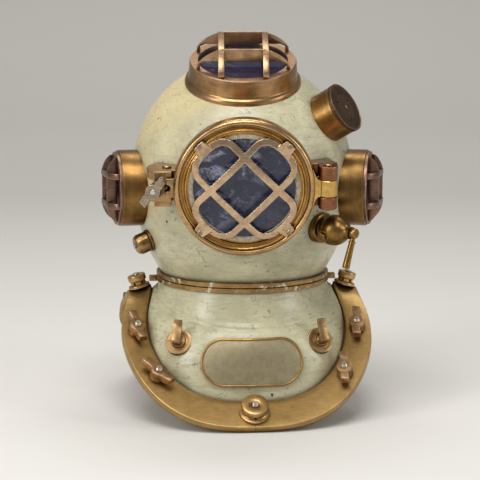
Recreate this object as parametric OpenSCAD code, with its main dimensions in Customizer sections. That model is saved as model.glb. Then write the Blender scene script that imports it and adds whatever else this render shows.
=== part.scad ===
// Diving helmet of the four light, twelve bolt kind: a spun bonnet that turns
// into the neck ring of a saddle shaped breastplate.
// Millimetres, +Z up, the front faces -Y, the rim stands on z = 0.

/* [Bonnet] */
// Outer radius of the spun bonnet
bonnet_r = 153; // [150:1:156]
// Height of the bonnet's sphere centre above the neck joint
bonnet_c = 153; // [150:1:156]
// Wall of the bonnet and of the breastplate
wall = 2.4; // [1.6:0.1:3]
// Height of the lower half of the bonnet, as an ellipse
taper_h = 193; // [188:1:198]

/* [Neck] */
// Height of the neck joint above the floor
neck_z = 180; // [177:0.5:183]
// Outer radius of both neck rings
ring_r = 122; // [120:0.5:124]
// Height of each visible neck ring
ring_h = 6.5; // [5:0.5:8]
// Gap between the two neck rings
neck_gap = 0.8; // [0.6:0.1:1.2]
// Clear radius through the neck
neck_bore_r = 103; // [100:0.5:104]

/* [Breastplate] */
// Half width of the rim across the shoulders
rim_a = 182; // [176:1:186]
// Half depth of the rim, front to back
rim_b = 208; // [202:1:212]
// How far the front of the rim hangs below the shoulders
rim_drop = 149; // [145:1:150]
// Half width of the inner edge of the clamping bands
band_a = 143; // [140:1:147]
// Half depth of the inner edge of the clamping bands
band_b = 166; // [162:1:170]
// How far the rim is drawn in at the shoulders, as a share
waist = 0.1; // [0.06:0.01:0.12]
// Thickness of a clamping band
brail_t = 6; // [5:0.5:7]
// Thickness of the rim flange
flange_t = 5; // [4:0.5:6]
// How far the breastplate stands turned under the bonnet, in degrees
seat_turn = 4; // [0:0.5:6]

/* [Face port] */
// Distance of the door's seat from the bonnet centre
face_seat = 155; // [153:0.5:157]
// Height of the face port's centre above the neck joint
face_c = 145.5; // [144:0.5:148]
// Tilt of the face port below the horizontal, in degrees
face_tilt = 10; // [8:0.5:12]
// Outer radius of the door
door_r = 94.5; // [93:0.5:96]
// Thickness of the door ring
door_t = 18; // [16:0.5:20]
// Radius of the glass that shows
face_glass_r = 67.8; // [66:0.2:69]
// Width of a guard bar
bar_w = 9.2; // [8:0.2:10]
// Distance of a guard bar's inner edge from the centre
bar_in = 27.2; // [26:0.2:28]

/* [Side and top ports] */
// Height of the side ports above the neck joint
side_c = 127.5; // [125:0.5:130]
// How far the side ports look forward, in degrees
side_fwd = 12; // [8:0.5:15]
// Outer radius of a side port drum
side_r = 53; // [51:0.5:55]
// Distance of the drum's outer face from the helmet's axis
side_out = 178; // [176:0.5:180]
// Forward lean of the top port, in degrees
top_lean = 20.5; // [18:0.5:22]
// Outer radius of the top port's rim
top_r = 73; // [71:0.5:75]
// Thickness of the guard straps
strap_t = 2.5; // [2:0.1:3]
// Width of the flat guard straps
strap_w = 8; // [7:0.5:9]

/* [Door clamp and hinge] */
// Distance of the clamp's pivot from the door's centre
clamp_x = 103; // [102:0.5:104]
// How far the loose swing bolt stands off at rest, in degrees
clamp_rest = 22; // [22:1:26]
// Distance of the hinge axis from the door's centre
hinge_x = 111; // [110.5:0.5:112]
// Radius of the hinge barrels
barrel_r = 12.5; // [11:0.5:13]
// Radius of the hinge pin
pin_r = 4; // [3.5:0.1:4.5]

/* [Fits] */
// Running clearance of a pin in its bore, on the radius
run = 0.05; // [0.03:0.01:0.08]
// Clearance between faces that pass each other
pass = 0.4; // [0.3:0.1:0.6]

/* [Hidden] */
$fn = 64;

BRASS = "#A87B45";
BRONZE = "#A98468";
PAINT = "#C5C6A8";
DARK = "#3A2A18";
GLASS = "#1C2430";
RUBBER = "#2A2622";
PALE = "#D8CDAE";
STEEL = "#C9C6C0";

// BONNET FORM
c1_z = neck_z + bonnet_c;
skirt_z = c1_z - 20;
bonnet_low = neck_z + ring_h + neck_gap / 2;
inner_r = bonnet_r - wall;
skirt_end = acos((skirt_z - bonnet_low) / taper_h);
low_r = bonnet_r * cos(asin((skirt_z - bonnet_low) / taper_h));

function bonnet_edge(off) = concat(
    [for (a = [90:-6:0]) [(bonnet_r - off) * cos(a), c1_z + (bonnet_r - off) * sin(a)]],
    [for (i = [0:10]) let (z = (skirt_z - bonnet_low) * i / 10)
        [bonnet_r * sqrt(1 - pow(z / taper_h, 2)) - off, skirt_z - z]]);

// The solid inside the bonnet's skin, off being how far within. It is
// flattened a little under the face port, where the port's base is bedded
flat_at = 3;
module bonnet_form(off = 0) {
    difference() {
        rotate_extrude($fn = 128)
            polygon(concat([[0, bonnet_low]], [[0, c1_z + bonnet_r - off]],
                [for (i = [1:26]) bonnet_edge(off)[i]]));
        face_place() box(-90, 90, -150, 0, -flat_at - off, 40);
    }
}

// Turns +Z to look along an azimuth from the front and an elevation
module aim(az, el) {
    rotate([90 - el, 0, az]) children();
}

// A fitting's place: on the helmet's axis at a height, looking outward
module at(az, el, h) {
    translate([0, 0, h]) aim(az, el) children();
}

module face_place() {
    translate([0, -face_seat * cos(face_tilt), neck_z + face_c]) aim(0, -face_tilt) children();
}
module top_place() {
    at(0, 90 - top_lean, c1_z) children();
}
module side_place(s) {
    at(s * (90 - side_fwd), 0, neck_z + side_c) children();
}
module revolve(pts, fn = 64) {
    rotate_extrude($fn = fn) polygon(pts);
}
module tube(ro, ri, z0, z1) {
    revolve([[ri, z0], [ro, z0], [ro, z1], [ri, z1]], 96);
}
module rod(r, z0, z1) {
    translate([0, 0, z0]) cylinder(r = r, h = z1 - z0);
}
module box(x0, x1, y0, y1, z0, z1) {
    translate([x0, y0, z0]) cube([x1 - x0, y1 - y0, z1 - z0]);
}

// BREASTPLATE FORM
STEPS = 96;
CURVE = 8;
stack = brail_t + flange_t;
function side_of(v) = v < 0 ? -1 : 1;
function bow(v, n) = side_of(v) * pow(abs(v), 2 / n);
function oval(a, b, n, u) = let (y = b * bow(sin(u), n))
    [a * bow(cos(u), n) * (1 - waist * exp(-pow(y / (0.3 * b), 2))), y];
function saddle(q, b, top, drop, p) = [q.x, q.y, neck_z - top - drop * pow(abs(q.y) / b, p)];
function outer_edge(u) = saddle(oval(rim_a, rim_b, 2.62, u), rim_b, 22, rim_drop, 1.3);
function inner_edge(u) = saddle(oval(band_a, band_b, 2.7, u), band_b, 12, rim_drop - 18, 1.06);
function unit(v) = v / norm(v);
function up_of(u) = let (n = unit(cross(outer_edge(u) - inner_edge(u),
        inner_edge(u + 1) + outer_edge(u + 1) - inner_edge(u - 1) - outer_edge(u - 1))))
    n.z < 0 ? -n : n;
// Point on the band: w across it from 0 to 1, d below the top face
function band(u, w, d) = let (q = inner_edge(u) * (1 - w) + outer_edge(u) * w - d * up_of(u))
    [q.x, q.y, max(q.z, 0)];
neck_top = neck_z - neck_gap / 2 - ring_h;
collar_r = 119;
function crease(u) = let (r = 121 + 14 * abs(sin(u)))
    [r * cos(u), r * sin(u), neck_z - 14 - 37 * abs(sin(u))];
function bezier(p, t) = pow(1 - t, 3) * p[0] + 3 * t * pow(1 - t, 2) * p[1]
    + 3 * t * t * (1 - t) * p[2] + pow(t, 3) * p[3];
// The breastplate's outer skin, t from 0 at the crease to 1 at the band
function skin(u, t) = let (c = crease(u), e = band(u, 0, brail_t), k = norm(e - c),
        f = unit([e.x - c.x, e.y - c.y, 0] + [cos(u), sin(u), 0] * 0.01))
    bezier([c, c + k * [0.26 * f.x, 0.26 * f.y, -0.2], e + k * [0, 0, 0.42], e], t);
function skin_up(u, t) = let (a = max(t - 0.03, 0), b = min(t + 0.03, 1),
        n = unit(cross(skin(u, b) - skin(u, a), skin(u + 1, t) - skin(u - 1, t))))
    (n.x * cos(u) + n.y * sin(u) + n.z < 0) ? -n : n;
function section(u) = concat(
    [[collar_r * cos(u), collar_r * sin(u), neck_top]],
    [for (i = [0:CURVE]) skin(u, i / CURVE)],
    [band(u, 0, brail_t + wall)],
    [for (i = [CURVE - 1:-1:0]) skin(u, i / CURVE) - wall * skin_up(u, i / CURVE)],
    [[(collar_r - wall) * cos(u), (collar_r - wall) * sin(u), neck_top]]);

// Skins a list of matching outlines; a ring joins the last to the first, and
// flip lays the other diagonal in each field, to match a neighbour's
module loft(rows, ring = false, flip = false) {
    m = len(rows[0]);
    n = len(rows);
    sides = [for (i = [0:n - (ring ? 1 : 2)], j = [0:m - 1])
        let (a = i * m + j, b = i * m + (j + 1) % m, c = ((i + 1) % n) * m + (j + 1) % m,
            d = ((i + 1) % n) * m + j)
            each flip ? [[a, d, b], [b, d, c]] : [[a, c, b], [a, d, c]]];
    caps = ring ? [] : [[for (j = [0:m - 1]) j], [for (j = [m - 1:-1:0]) (n - 1) * m + j]];
    polyhedron(points = [for (r = rows) each r], faces = concat(sides, caps), convexity = 8);
}
// A frame on the band at angle u: x along it, z off its face
module frame(x, z, p) {
    y = cross(z, x);
    multmatrix([[x.x, y.x, z.x, p.x], [x.y, y.y, z.y, p.y], [x.z, y.z, z.z, p.z], [0, 0, 0, 1]])
        children();
}
module on_band(u, w) {
    frame(unit(band(u + 1, w, 0) + band(u + 1, 1 - w, 0) - band(u - 1, w, 0) - band(u - 1, 1 - w, 0)),
        up_of(u), band(u, w, 0)) children();
}
// A frame on the breastplate's skin: y straight up it, z off it
module on_skin(u, t) {
    n = skin_up(u, t);
    frame(unit([1, 0, 0] - n.x * n), n, skin(u, t)) children();
}
// A pad of even thickness that follows the breastplate's skin
module skin_pad(u0, u1, i0, i1, thick) {
    loft([for (k = [u0:360 / STEPS:u1]) concat(
        [for (i = [i0:i1]) skin(k, i / CURVE) + thick * skin_up(k, i / CURVE)],
        [for (i = [i1:-1:i0]) skin(k, i / CURVE)])], flip = true);
}
// The saddle and all that is fixed to it stand a little turned on the neck
module seated() {
    rotate(seat_turn) children();
}

// BREASTPLATE
module breastplate_shell() color(PAINT) seated()
    loft([for (i = [0:STEPS - 1]) section(360 * i / STEPS)], true);

// Places of the twelve studs, as angles round the rim from the right shoulder
STUDS = [0, 18, 43, 90, 137, 162, 180, 198, 223, 270, 317, 342];
stud_r = 4.6;
module at_studs(which) {
    for (i = which) on_band(STUDS[i], 0.5) children();
}
module rim_flange() color(BRASS) seated() difference() {
    loft([for (i = [0:STEPS - 1]) let (u = 360 * i / STEPS) [band(u, 0, brail_t), band(u, 1, brail_t),
        band(u, 1, stack), band(u, 0, stack), band(u, 0, brail_t + wall)]], true, true);
    at_studs([0:11]) rod(stud_r, -stack - 4, 1);
}
module rim_studs() color(STEEL) seated() at_studs([0:11]) rod(stud_r, -stack + 1, 21);

// One clamping band of a quarter rim, with room for the studs
module brail(u0) {
    joint = 0.02;
    inner = 0.05;
    under = brail_t - 0.2;
    color(BRASS) seated() difference() {
        loft([for (i = [0:24]) let (u = u0 + 3.75 * i + (i == 0 ? joint : i == 24 ? -joint : 0))
            [band(u, inner, 0), band(u, 1, 0), band(u, 1, under), band(u, inner, under)]]);
        at_studs([0:11]) rod(stud_r + 0.6, -stack, 2);
    }
}
module brail_front_left() brail(180);
module brail_front_right() brail(270);
module brail_rear_left() brail(90);
module brail_rear_right() brail(0);

// One ear of a wing nut, blade being its thickness
module ear(blade) {
    rotate([90, 0, 0]) translate([0, 0, -blade / 2]) linear_extrude(blade)
        polygon([[4, 1.5], [13, 2], [21, 8], [24, 13], [24.5, 19], [17.5, 20], [14, 13.5], [8, 10], [4, 11]]);
}
module wing_nut(hub, tall, blade, hole) {
    difference() {
        union() {
            revolve([[0, 0], [hub + 1.5, 0], [hub + 1.5, 2.5], [hub, 4], [hub - 1.5, tall], [0, tall]]);
            ear(blade);
            rotate(180) ear(blade);
        }
        rod(hole, -1, tall + 1);
    }
}
// How each plain wing nut happens to stand, in the order of the studs
NUT_TURN = [0, 35, 20, 0, 50, -30, 0, 8, 10, 0, 24, -6];
module wing_nuts() color(BRONZE) seated()
    for (i = [1, 2, 4, 5, 7, 8, 10, 11]) on_band(STUDS[i], 0.5)
        translate([0, 0, 0.6]) rotate(NUT_TURN[i]) wing_nut(9.5, 15, 8, stud_r);

// Round nut that straddles two bands, with holes for a tommy bar
module flanged_nut(r, tall) {
    difference() {
        revolve([[0, 0], [r + 2.4, 0], [r + 2.4, 2.6], [r + 1.6, 3.6], [r - 2, 4.4], [r - 2, 8.5],
            [r - 0.4, 9.4], [r, 10.2], [r, tall - 0.8], [r - 0.8, tall], [0, tall]]);
        for (a = [30:60:330]) rotate([0, 90, a]) translate([-6.4, 0, 0]) rod(1.9, r - 7, r + 3);
        rod(stud_r, -1, tall + 1);
    }
}
module flanged_nuts() color(BRASS) seated() {
    for (i = [0, 6]) on_band(STUDS[i], 0.5) translate([0, 0, 0.5]) flanged_nut(12.8, 18);
    for (i = [3, 9]) on_band(STUDS[i], 0.5) translate([0, 0, 0.3]) flanged_nut(18.2, 17.5);
}

// Lashing hook: a dished base, a boss and a strap bent up from it
module lashing_hook(u) {
    color(BRONZE) seated() {
        intersection() {
            skin_pad(u - 15, u + 15, 1, 7, 4);
            on_skin(u, 0.47) rod(18.3, -12, 12);
        }
        on_skin(u, 0.47) {
            rod(9.8, 4.2, 9);
            rod(5.6, 9, 18);
            box(-6, 6, -9, -4, 14.5, 18);
            box(-6, 6, -9, 24, 18, 21.6);
        }
    }
}
module lashing_hook_left() lashing_hook(HOOK_L);
module lashing_hook_right() lashing_hook(HOOK_R);
HOOK_L = 232.5;
HOOK_R = 307.5;

// Nameplate, left bare: a racetrack that follows the skin, with a raised edge
plate_w = 137;
plate_h = 70;
plate_z = neck_z - 93;
plate_s = (plate_w - plate_h) / 2;
// Place on the skin that has a given x and z, found by stepping towards it
function seek(x, z, u, t, n) = n == 0 ? [u, t] : let (q = skin(u, t), s = skin(u + 0.5, t), v = skin(u, t + 0.02))
    seek(x, z, u + 0.5 * (x - q.x) / (s.x - q.x), t + 0.02 * (z - q.z) / (v.z - q.z), n - 1);
function plate_point(x, z, lift) = let (s = seek(x, plate_z + z, 270 + x / 2.4, 0.55, 6))
    skin(s[0], s[1]) + lift * skin_up(s[0], s[1]);
function plate_half(x) = let (r = plate_h / 2, e = max(abs(x) - plate_s, 0)) sqrt(r * r - e * e);
PLATE_X = concat([for (a = [78:-13:13]) -plate_s - plate_h / 2 * sin(a)],
    [for (i = [-4:4]) plate_s * i / 4], [for (a = [13:13:78]) plate_s + plate_h / 2 * sin(a)]);
// Round the plate's edge: the centre that each point turns about, and its angle
PLATE_EDGE = concat([for (a = [-90:13:90]) [plate_s, a]], [for (i = [4:-1:-3]) [plate_s * i / 4, 90]],
    [for (a = [90:13:270]) [-plate_s, a]], [for (i = [-4:3]) [plate_s * i / 4, 270]]);
module nameplate() color(BRONZE) seated() {
    loft([for (x = PLATE_X) let (h = plate_half(x)) concat(
        [for (i = [3:-1:-3]) plate_point(x, h * i / 3, 3.2)],
        [for (i = [-3:3]) plate_point(x, h * i / 3, 0.25)])]);
    loft([for (p = PLATE_EDGE) [for (e = [[-2.3, 2.4], [-2.3, 4.5], [0.1, 4.5], [0.1, 2.4]])
        let (r = plate_h / 2 + e[0]) plate_point(p[0] + r * cos(p[1]), r * sin(p[1]), e[1])]], true);
}

// Interrupted thread: four lugs on each ring, an eighth of a turn apart
lug_z = neck_z - 6;
module lugs(r0, r1, z0, z1, a0) {
    for (a = [a0:90:a0 + 270]) rotate(a - 20) rotate_extrude(angle = 40)
        polygon([[r0, z0], [r1, z0], [r1, z1], [r0, z1]]);
}
module breastplate_neck_ring() color(BRASS) {
    z0 = neck_z - neck_gap / 2;
    ri = collar_r - wall;
    revolve([[neck_bore_r + 9.4, z0], [ring_r, z0], [ring_r, neck_top], [ri, neck_top],
        [ri, neck_top - 4], [ri - 2, neck_z - 26], [neck_bore_r - 2, neck_z - 26],
        [neck_bore_r - 2, neck_z - 23], [neck_bore_r + 9.4, neck_z - 23]], 128);
    lugs(neck_bore_r + 5.4, neck_bore_r + 9.5, lug_z - 5, lug_z, 45);
    seated() for (s = [-1, 1]) box(s > 0 ? ring_r - 1 : -132.4, s > 0 ? 132.4 : 1 - ring_r, -6, 6, neck_z - 8, z0 - 0.2);
}
module neck_gasket() color(RUBBER)
    tube(neck_bore_r + 9, neck_bore_r - 1, neck_z - 23, neck_z - 19.6);

// BONNET
exhaust_h = neck_z + 105.4;
spit_h = neck_z + 87;
module exhaust_place() {
    at(-67, -19, exhaust_h) children();
}
module spit_place() {
    at(44.5, -2, spit_h) children();
}
module speaker_place() {
    at(61, 29.5, c1_z) children();
}
module air_place() {
    at(-152, -8, neck_z + 120) children();
}
module comm_place() {
    at(128, -14, neck_z + 100) children();
}
side_bore = 40;
top_bore = 58;
face_bore = 70;
module bonnet_shell() color(PAINT) difference() {
    bonnet_form();
    bonnet_form(wall);
    rod(low_r - wall, bonnet_low - 2, bonnet_low + 0.2);
    for (s = [-1, 1]) side_place(s) rod(side_bore, 80, 200);
    top_place() rod(top_bore, 80, 200);
    face_place() rod(face_bore, -100, 60);
    speaker_place() rod(28, 100, 200);
    spit_place() rod(5, 100, 200);
    exhaust_place() rod(12, 100, 200);
    air_place() rod(9, 100, 200);
    comm_place() rod(5, 100, 200);
}
module bonnet_neck_ring() color(BRASS) {
    z0 = neck_z + neck_gap / 2;
    revolve([[neck_bore_r, neck_z - 19], [neck_bore_r + 4.9, neck_z - 19], [neck_bore_r + 4.9, z0],
        [ring_r, z0], [ring_r, bonnet_low], [neck_bore_r, bonnet_low]], 128);
    lugs(neck_bore_r + 4.8, neck_bore_r + 9, lug_z - 11, lug_z - 5 - pass, 45);
}

// Outline over a guard: up at one side, round the corner, across and down
function arch(reach, top, cx, cz) = concat([[-reach, 0]],
    [for (a = [180:-15:90]) [-reach + cx + cx * cos(a), top - cz + cz * sin(a)]],
    [for (a = [90:-15:0]) [reach - cx + cx * cos(a), top - cz + cz * sin(a)]], [[reach, 0]]);
module upright(width) {
    rotate([90, 0, 0]) translate([0, 0, -width / 2]) linear_extrude(width) children();
}
// Guard of four crossed straps, two on edge and two flat, over a round rim
module crossed_straps(space, rim, top, deep, cx, cz, over) {
    reach = sqrt(rim * rim - space * space) - 1.5;
    for (s = [-1, 1]) translate([0, s * space, 0]) upright(strap_t) difference() {
        polygon(arch(reach, top, cx, cz));
        polygon([[-reach + 5, -1], [-reach + 5, (top - deep) * 0.7], [-reach + 12, top - deep],
            [reach - 12, top - deep], [reach - 5, (top - deep) * 0.7], [reach - 5, -1]]);
    }
    for (s = [-1, 1]) rotate(90) translate([0, s * space, 0]) upright(strap_w) difference() {
        polygon(arch(reach, top, over, cz));
        translate([0, -0.01]) polygon(arch(reach - strap_t, top - strap_t, over - 1, cz - 1));
    }
}

// Top port, measured from the sphere's centre
top_face = 164;
module top_port_frame() color(BRASS) difference() {
    top_place() revolve([[top_bore, 100], [80, 100], [80, 134], [78.8, 137.5], [76.6, 139], [top_r + 2, 141],
        [top_r + 0.5, top_face - 4], [66.3, top_face - 4], [66.3, 148], [top_bore, 148]], 96);
    bonnet_form();
}
module top_port_glass() color(GLASS, 0.6) top_place() rod(65.9, 149, 157);
module top_port_guard() color(BRONZE) top_place() {
    tube(66, 61, 157, top_face - 4);
    tube(top_r, 61, top_face - 4, top_face);
    translate([0, 0, top_face]) crossed_straps(30, top_r - 1.5, 29, 20, 20, 17, 35);
}

// Side ports, measured from the helmet's axis
module side_frame(s) color(BRASS) difference() {
    side_place(s) revolve([[side_bore, 90], [side_r, 90], [side_r, side_out - 1], [side_r - 1, side_out],
        [44.4, side_out], [44.4, side_out - 18], [side_bore, side_out - 18]], 96);
    bonnet_form();
}
module side_glass(s) color(GLASS, 0.6) side_place(s) rod(44, side_out - 17, side_out - 9);
module side_guard(s) color(BRONZE) side_place(s) {
    tube(44.2, side_bore, side_out - 9, side_out);
    tube(side_r - 2, side_bore, side_out, side_out + 4);
    translate([0, 0, side_out + 4]) rotate(90) crossed_straps(20.6, side_r - 2.5, 14.5, 12.8, 15, 12, 15);
}
module left_port_frame() side_frame(-1);
module left_port_glass() side_glass(-1);
module left_port_guard() side_guard(-1);
module right_port_frame() side_frame(1);
module right_port_glass() side_glass(1);
module right_port_guard() side_guard(1);
module port_gaskets() color(RUBBER) {
    for (s = [-1, 1]) side_place(s) tube(44, side_bore, side_out - 18, side_out - 17);
    top_place() tube(65.9, top_bore, 148, 149);
}

// Face port, measured from the door's seat
module face_cone(r0, r1) {
    revolve([[0, -75], [r1, -75], [r1, -48], [r0, -4], [r0, 0], [0, 0]], 96);
}
module face_port_frame() color(BRASS) difference() {
    face_place() face_cone(door_r - 1, door_r - 14);
    bonnet_form();
    face_place() rod(face_bore, -100, 1);
    face_place() tube(79, 73, -2.5, 1);
}
module face_gasket() color(RUBBER) face_place() tube(79, 73, -2.5, 0);

// What is cut from a bracket's top, so that it slopes down towards the bonnet
module sloped_off(y, z) {
    translate([0, y, z]) rotate([-9, 0, 0]) box(-150, 150, 0, 40, -90, 0);
}

// Bonnet half of the door hinge: two barrels on arms
hinge_z = 8;
module at_hinge() {
    translate([hinge_x, 0, hinge_z]) rotate([90, 0, 0]) children();
}
module hinge_bracket() color(BRASS) difference() {
    face_place() for (y = [[12, 30], [-29, -12]]) {
        at_hinge() rod(barrel_r, -y[1], -y[0]);
        translate([0, y[1], 0]) rotate([90, 0, 0]) linear_extrude(y[1] - y[0])
            polygon([[98.7, hinge_z], [123.4, hinge_z], [123.4, -4], [114, -70], [84, -70], [84, -0.6], [98.7, -0.6]]);
    }
    face_place() sloped_off(30, -3);
    bonnet_form();
    face_place() face_cone(door_r - 1, door_r - 14);
    face_place() at_hinge() rod(pin_r, -40, 40);
}
module hinge_pin() color(BRONZE) face_place() at_hinge() {
    rod(pin_r, -31, 32);
    rod(5.6, 29, 31.5);
    rod(5.6, -32.5, -30);
}

// Door clamp: a swing bolt between two cheeks, measured from the door's seat
clamp_z = -14;
cheek_in = 8.5;
cheek_out = 21;
nut_lift = 3;
module at_clamp() {
    translate([-clamp_x, 0, clamp_z]) rotate([90, 0, 0]) children();
}
// The bolt's own frame: +Z along it from the pivot, as it stands at rest
module bolt_place() {
    face_place() translate([-clamp_x, 0, clamp_z]) rotate([0, -clamp_rest, 0]) children();
}
module clamp_bracket() color(BRASS) difference() {
    face_place() {
        for (y = [cheek_out, -cheek_in]) translate([0, y, 0]) rotate([90, 0, 0])
            linear_extrude(cheek_out - cheek_in) polygon([[-96, 7], [-120, 7], [-126.5, 0],
                [-130, -12], [-129, -22], [-116, -70], [-84, -70], [-84, -0.8], [-96, -0.8]]);
        box(-120, -97, -cheek_out - 8, -cheek_out, -20, 2);
    }
    face_place() sloped_off(cheek_out, -22);
    bonnet_form();
    face_place() face_cone(door_r - 1, door_r - 14);
    face_place() at_clamp() rod(pin_r, -40, 40);
}
module clamp_pivot_pin() color(BRONZE) face_place() at_clamp() {
    rod(pin_r, -cheek_out - 1, cheek_out + 10);
    rod(6, cheek_out + 8, cheek_out + 11);
    rod(6, -cheek_out - 3, -cheek_out);
}
module swing_bolt() color(STEEL) bolt_place() difference() {
    union() {
        rotate([90, 0, 0]) rod(9, -cheek_in + pass, cheek_in - pass);
        rod(4.5, 7, 49);
    }
    rotate([90, 0, 0]) rod(pin_r + run, -20, 20);
}
lug_lo = 7.6;
lug_hi = 13.6;
washer_t = 2.2;
washer_at = lug_hi - clamp_z + 0.35 + nut_lift;
module clamp_washer() color(BRASS) bolt_place() tube(9, 4.5 + run, washer_at, washer_at + washer_t);
module clamp_wing_nut() color(BRONZE) bolt_place() translate([0, 0, washer_at + washer_t + 0.1])
    rotate(46) scale(0.82) wing_nut(10, 15, 8, (4.5 + run) / 0.82);

// Door: ring, glass, guard and its screws
module door_lug_slot() {
    box(-120, -clamp_x, -5, 5, lug_lo - 1, lug_hi + 1);
    translate([-clamp_x, 0, 0]) rod(5, lug_lo - 1, lug_hi + 1);
}
screw_r = 84.2;
module at_screws() {
    for (a = [45:90:315]) rotate(a) translate([screw_r, 0, 0]) children();
}
module faceplate_ring() color(BRASS) face_place() difference() {
    union() {
        revolve([[66, pass], [door_r, pass], [door_r, 12], [door_r - 0.8, 15], [door_r - 2.8, 17.2],
            [door_r - 5.4, 18], [door_r - 7.6, 16.8], [door_r - 8.4, 14.2], [door_r - 9.8, 14.2],
            [door_r - 10.4, 17.2], [77.4, 17.2], [76.8, 13.4], [74.8, 13.4], [74.8, 4], [66, 4]], 96);
        box(-clamp_x - 1, -88, -13, 13, lug_lo, lug_hi);
        box(88, hinge_x, -11.6, 11.6, 4, 15.5);
        at_hinge() rod(barrel_r, -11.6, 11.6);
    }
    door_lug_slot();
    at_hinge() rod(pin_r + run, -20, 20);
    at_screws() rod(1.8, 9, 20);
}
module faceplate_glass() color(GLASS, 0.6) face_place() rod(74.6, 4, 12);
module faceplate_seal() color(PALE) face_place() tube(74.6, face_glass_r, 12, 14.4);

// One petal of the guard, grown by g beyond its opening, in the guard's plane
petal_r = 68.5;
petal_c = 14;
function petal(g) = let (w = bar_in + g, x = bar_in - petal_c, y = sqrt(pow(petal_r - petal_c, 2) - x * x),
        r = petal_c + g, turn = atan2(y, x), y0 = bar_in + bar_w - g, big = petal_r + g)
    concat([[-w, y0], [w, y0]],
        [for (i = [0:4]) [x + r * cos(turn * i / 4), y + r * sin(turn * i / 4)]],
        [for (i = [1:7]) let (a = turn + (180 - 2 * turn) * i / 8) [big * cos(a), big * sin(a)]],
        [for (i = [4:-1:0]) [-x - r * cos(turn * i / 4), y + r * sin(turn * i / 4)]]);
dome_r = 246;
module faceplate_guard() color(BRONZE) face_place() difference() {
    union() {
        intersection() {
            translate([0, 0, 30.5 - dome_r]) difference() {
                sphere(dome_r, $fn = 96);
                sphere(dome_r - 4.4, $fn = 96);
            }
            translate([0, 0, 8]) linear_extrude(24) difference() {
                union() {
                    for (a = [45:90:315]) rotate(a - 90) polygon(petal(bar_w));
                }
                for (a = [45:90:315]) rotate(a - 90) polygon(petal(0));
            }
        }
        for (a = [45:90:315]) rotate(a - 90) translate([0, 0, 17.2]) linear_extrude(3.2)
            polygon([[-11, 69.5], [11, 69.5], [7.5, 86.7], [-7.5, 86.7]]);
    }
    at_screws() rod(1.8, 10, 30);
    tube(120, 76.2, 5, 17.2);
}
module guard_screws() color(STEEL) face_place() at_screws() difference() {
    union() {
        rod(1.8, 9.2, 20.4);
        revolve([[0, 20.4], [3.6, 20.4], [3.6, 21.2], [2.4, 22.4], [0, 22.6]], 32);
    }
    box(-5, 5, -0.5, 0.5, 21.6, 24);
}

// SPEAKER CUP
cup_face = 184;
module speaker_cup() color(BRASS) difference() {
    speaker_place() revolve([[28, 100], [34.5, 100], [34.5, cup_face - 6], [28, cup_face - 6]]);
    bonnet_form();
}
module speaker_cup_cap() color(BRONZE) speaker_place() difference() {
    union() {
        rod(27.8, cup_face - 12, cup_face - 6);
        revolve([[0, cup_face - 6], [35.2, cup_face - 6], [35.2, cup_face - 1.6], [34, cup_face], [0, cup_face]]);
        rod(2.4, cup_face, cup_face + 0.8);
    }
    for (a = [30:120:270]) rotate(a) translate([18, 0, 0]) rod(2, cup_face - 4, cup_face + 1);
}
module speaker_receiver() color(DARK) speaker_place() revolve([[0, cup_face - 34], [24, cup_face - 34],
    [27.8, cup_face - 26], [27.8, cup_face - 12.2], [0, cup_face - 12.2]]);

// SPITCOCK
knob_z = 206;
module spitcock_body() color(BRASS) {
    difference() {
        spit_place() revolve([[0, 120], [21, 120], [21, 155.5], [20, 157], [15.5, 158.2], [15.2, 160.5],
            [19, 165], [20.8, 171], [20.8, 177], [19, 184], [15, 191], [10.5, 196], [8.5, 200],
            [8.5, knob_z - 0.6], [0, knob_z - 0.6]]);
        bonnet_form();
    }
    spit_place() {
        rod(3, knob_z - 0.6, knob_z + 8.6);
        translate([0, 0, 172]) rotate([90, 0, -42]) {
            rod(8.2, 16, 21.5);
            cylinder(r = 6.4, h = 25.5, $fn = 6);
        }
    }
}
module spitcock_lever() color(BRASS) spit_place() {
    difference() {
        union() {
            revolve([[0, knob_z], [7, knob_z], [7.4, knob_z + 3], [6.6, knob_z + 7.4], [0, knob_z + 8]]);
            translate([0, 0, knob_z + 3.8]) rotate([90, 0, -18]) {
                rod(3.2, 3, 14);
                rod(5, 10.5, 13);
                translate([0, 0, 13]) cylinder(r1 = 4.1, r2 = 5.2, h = 34);
                rod(4.4, 47, 48.2);
            }
        }
        rod(3 + run, knob_z - 1, knob_z + 9);
    }
}

// EXHAUST VALVE
hub_z = 158;
stem_r = 2.5;
module exhaust_valve_body() color(BRASS) difference() {
    union() {
        difference() {
            exhaust_place() rod(15.6, 120, 152);
            bonnet_form();
        }
        exhaust_place() {
            rod(11.9, 131, 151);
            rod(10, 151, hub_z);
        }
    }
    exhaust_place() {
        rod(stem_r + run, 120, 170);
        rod(7, 130, 146);
    }
}
module exhaust_valve_wheel() color(BRASS) exhaust_place() difference() {
    revolve([[0, 152.4], [13.6, 152.4], [14.6, 153.6], [14.6, 165], [11, 170.4], [0, 170.4]], 12);
    rod(10 + run, 150, hub_z + 0.4);
    rod(stem_r + pass, 150, 180);
}
module exhaust_stem() color(STEEL) exhaust_place() {
    rod(stem_r, 110, 174);
    revolve([[0, 104], [11, 104], [13, 106], [13, 110], [0, 110]]);
    rod(6.4, 132, 134);
}
// Round wire wound as a coil
module coil(r, wire, z0, z1, turns) {
    loft([for (i = [0:14 * turns]) let (a = 360 * i / 14, z = z0 + (z1 - z0) * i / (14 * turns))
        [for (b = [0:60:300]) [(r + wire * cos(b)) * cos(a), (r + wire * cos(b)) * sin(a), z - wire * sin(b)]]]);
}
module exhaust_spring() color(STEEL) exhaust_place() coil(4.6, 0.6, 134.8, 145.2, 5);

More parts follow.
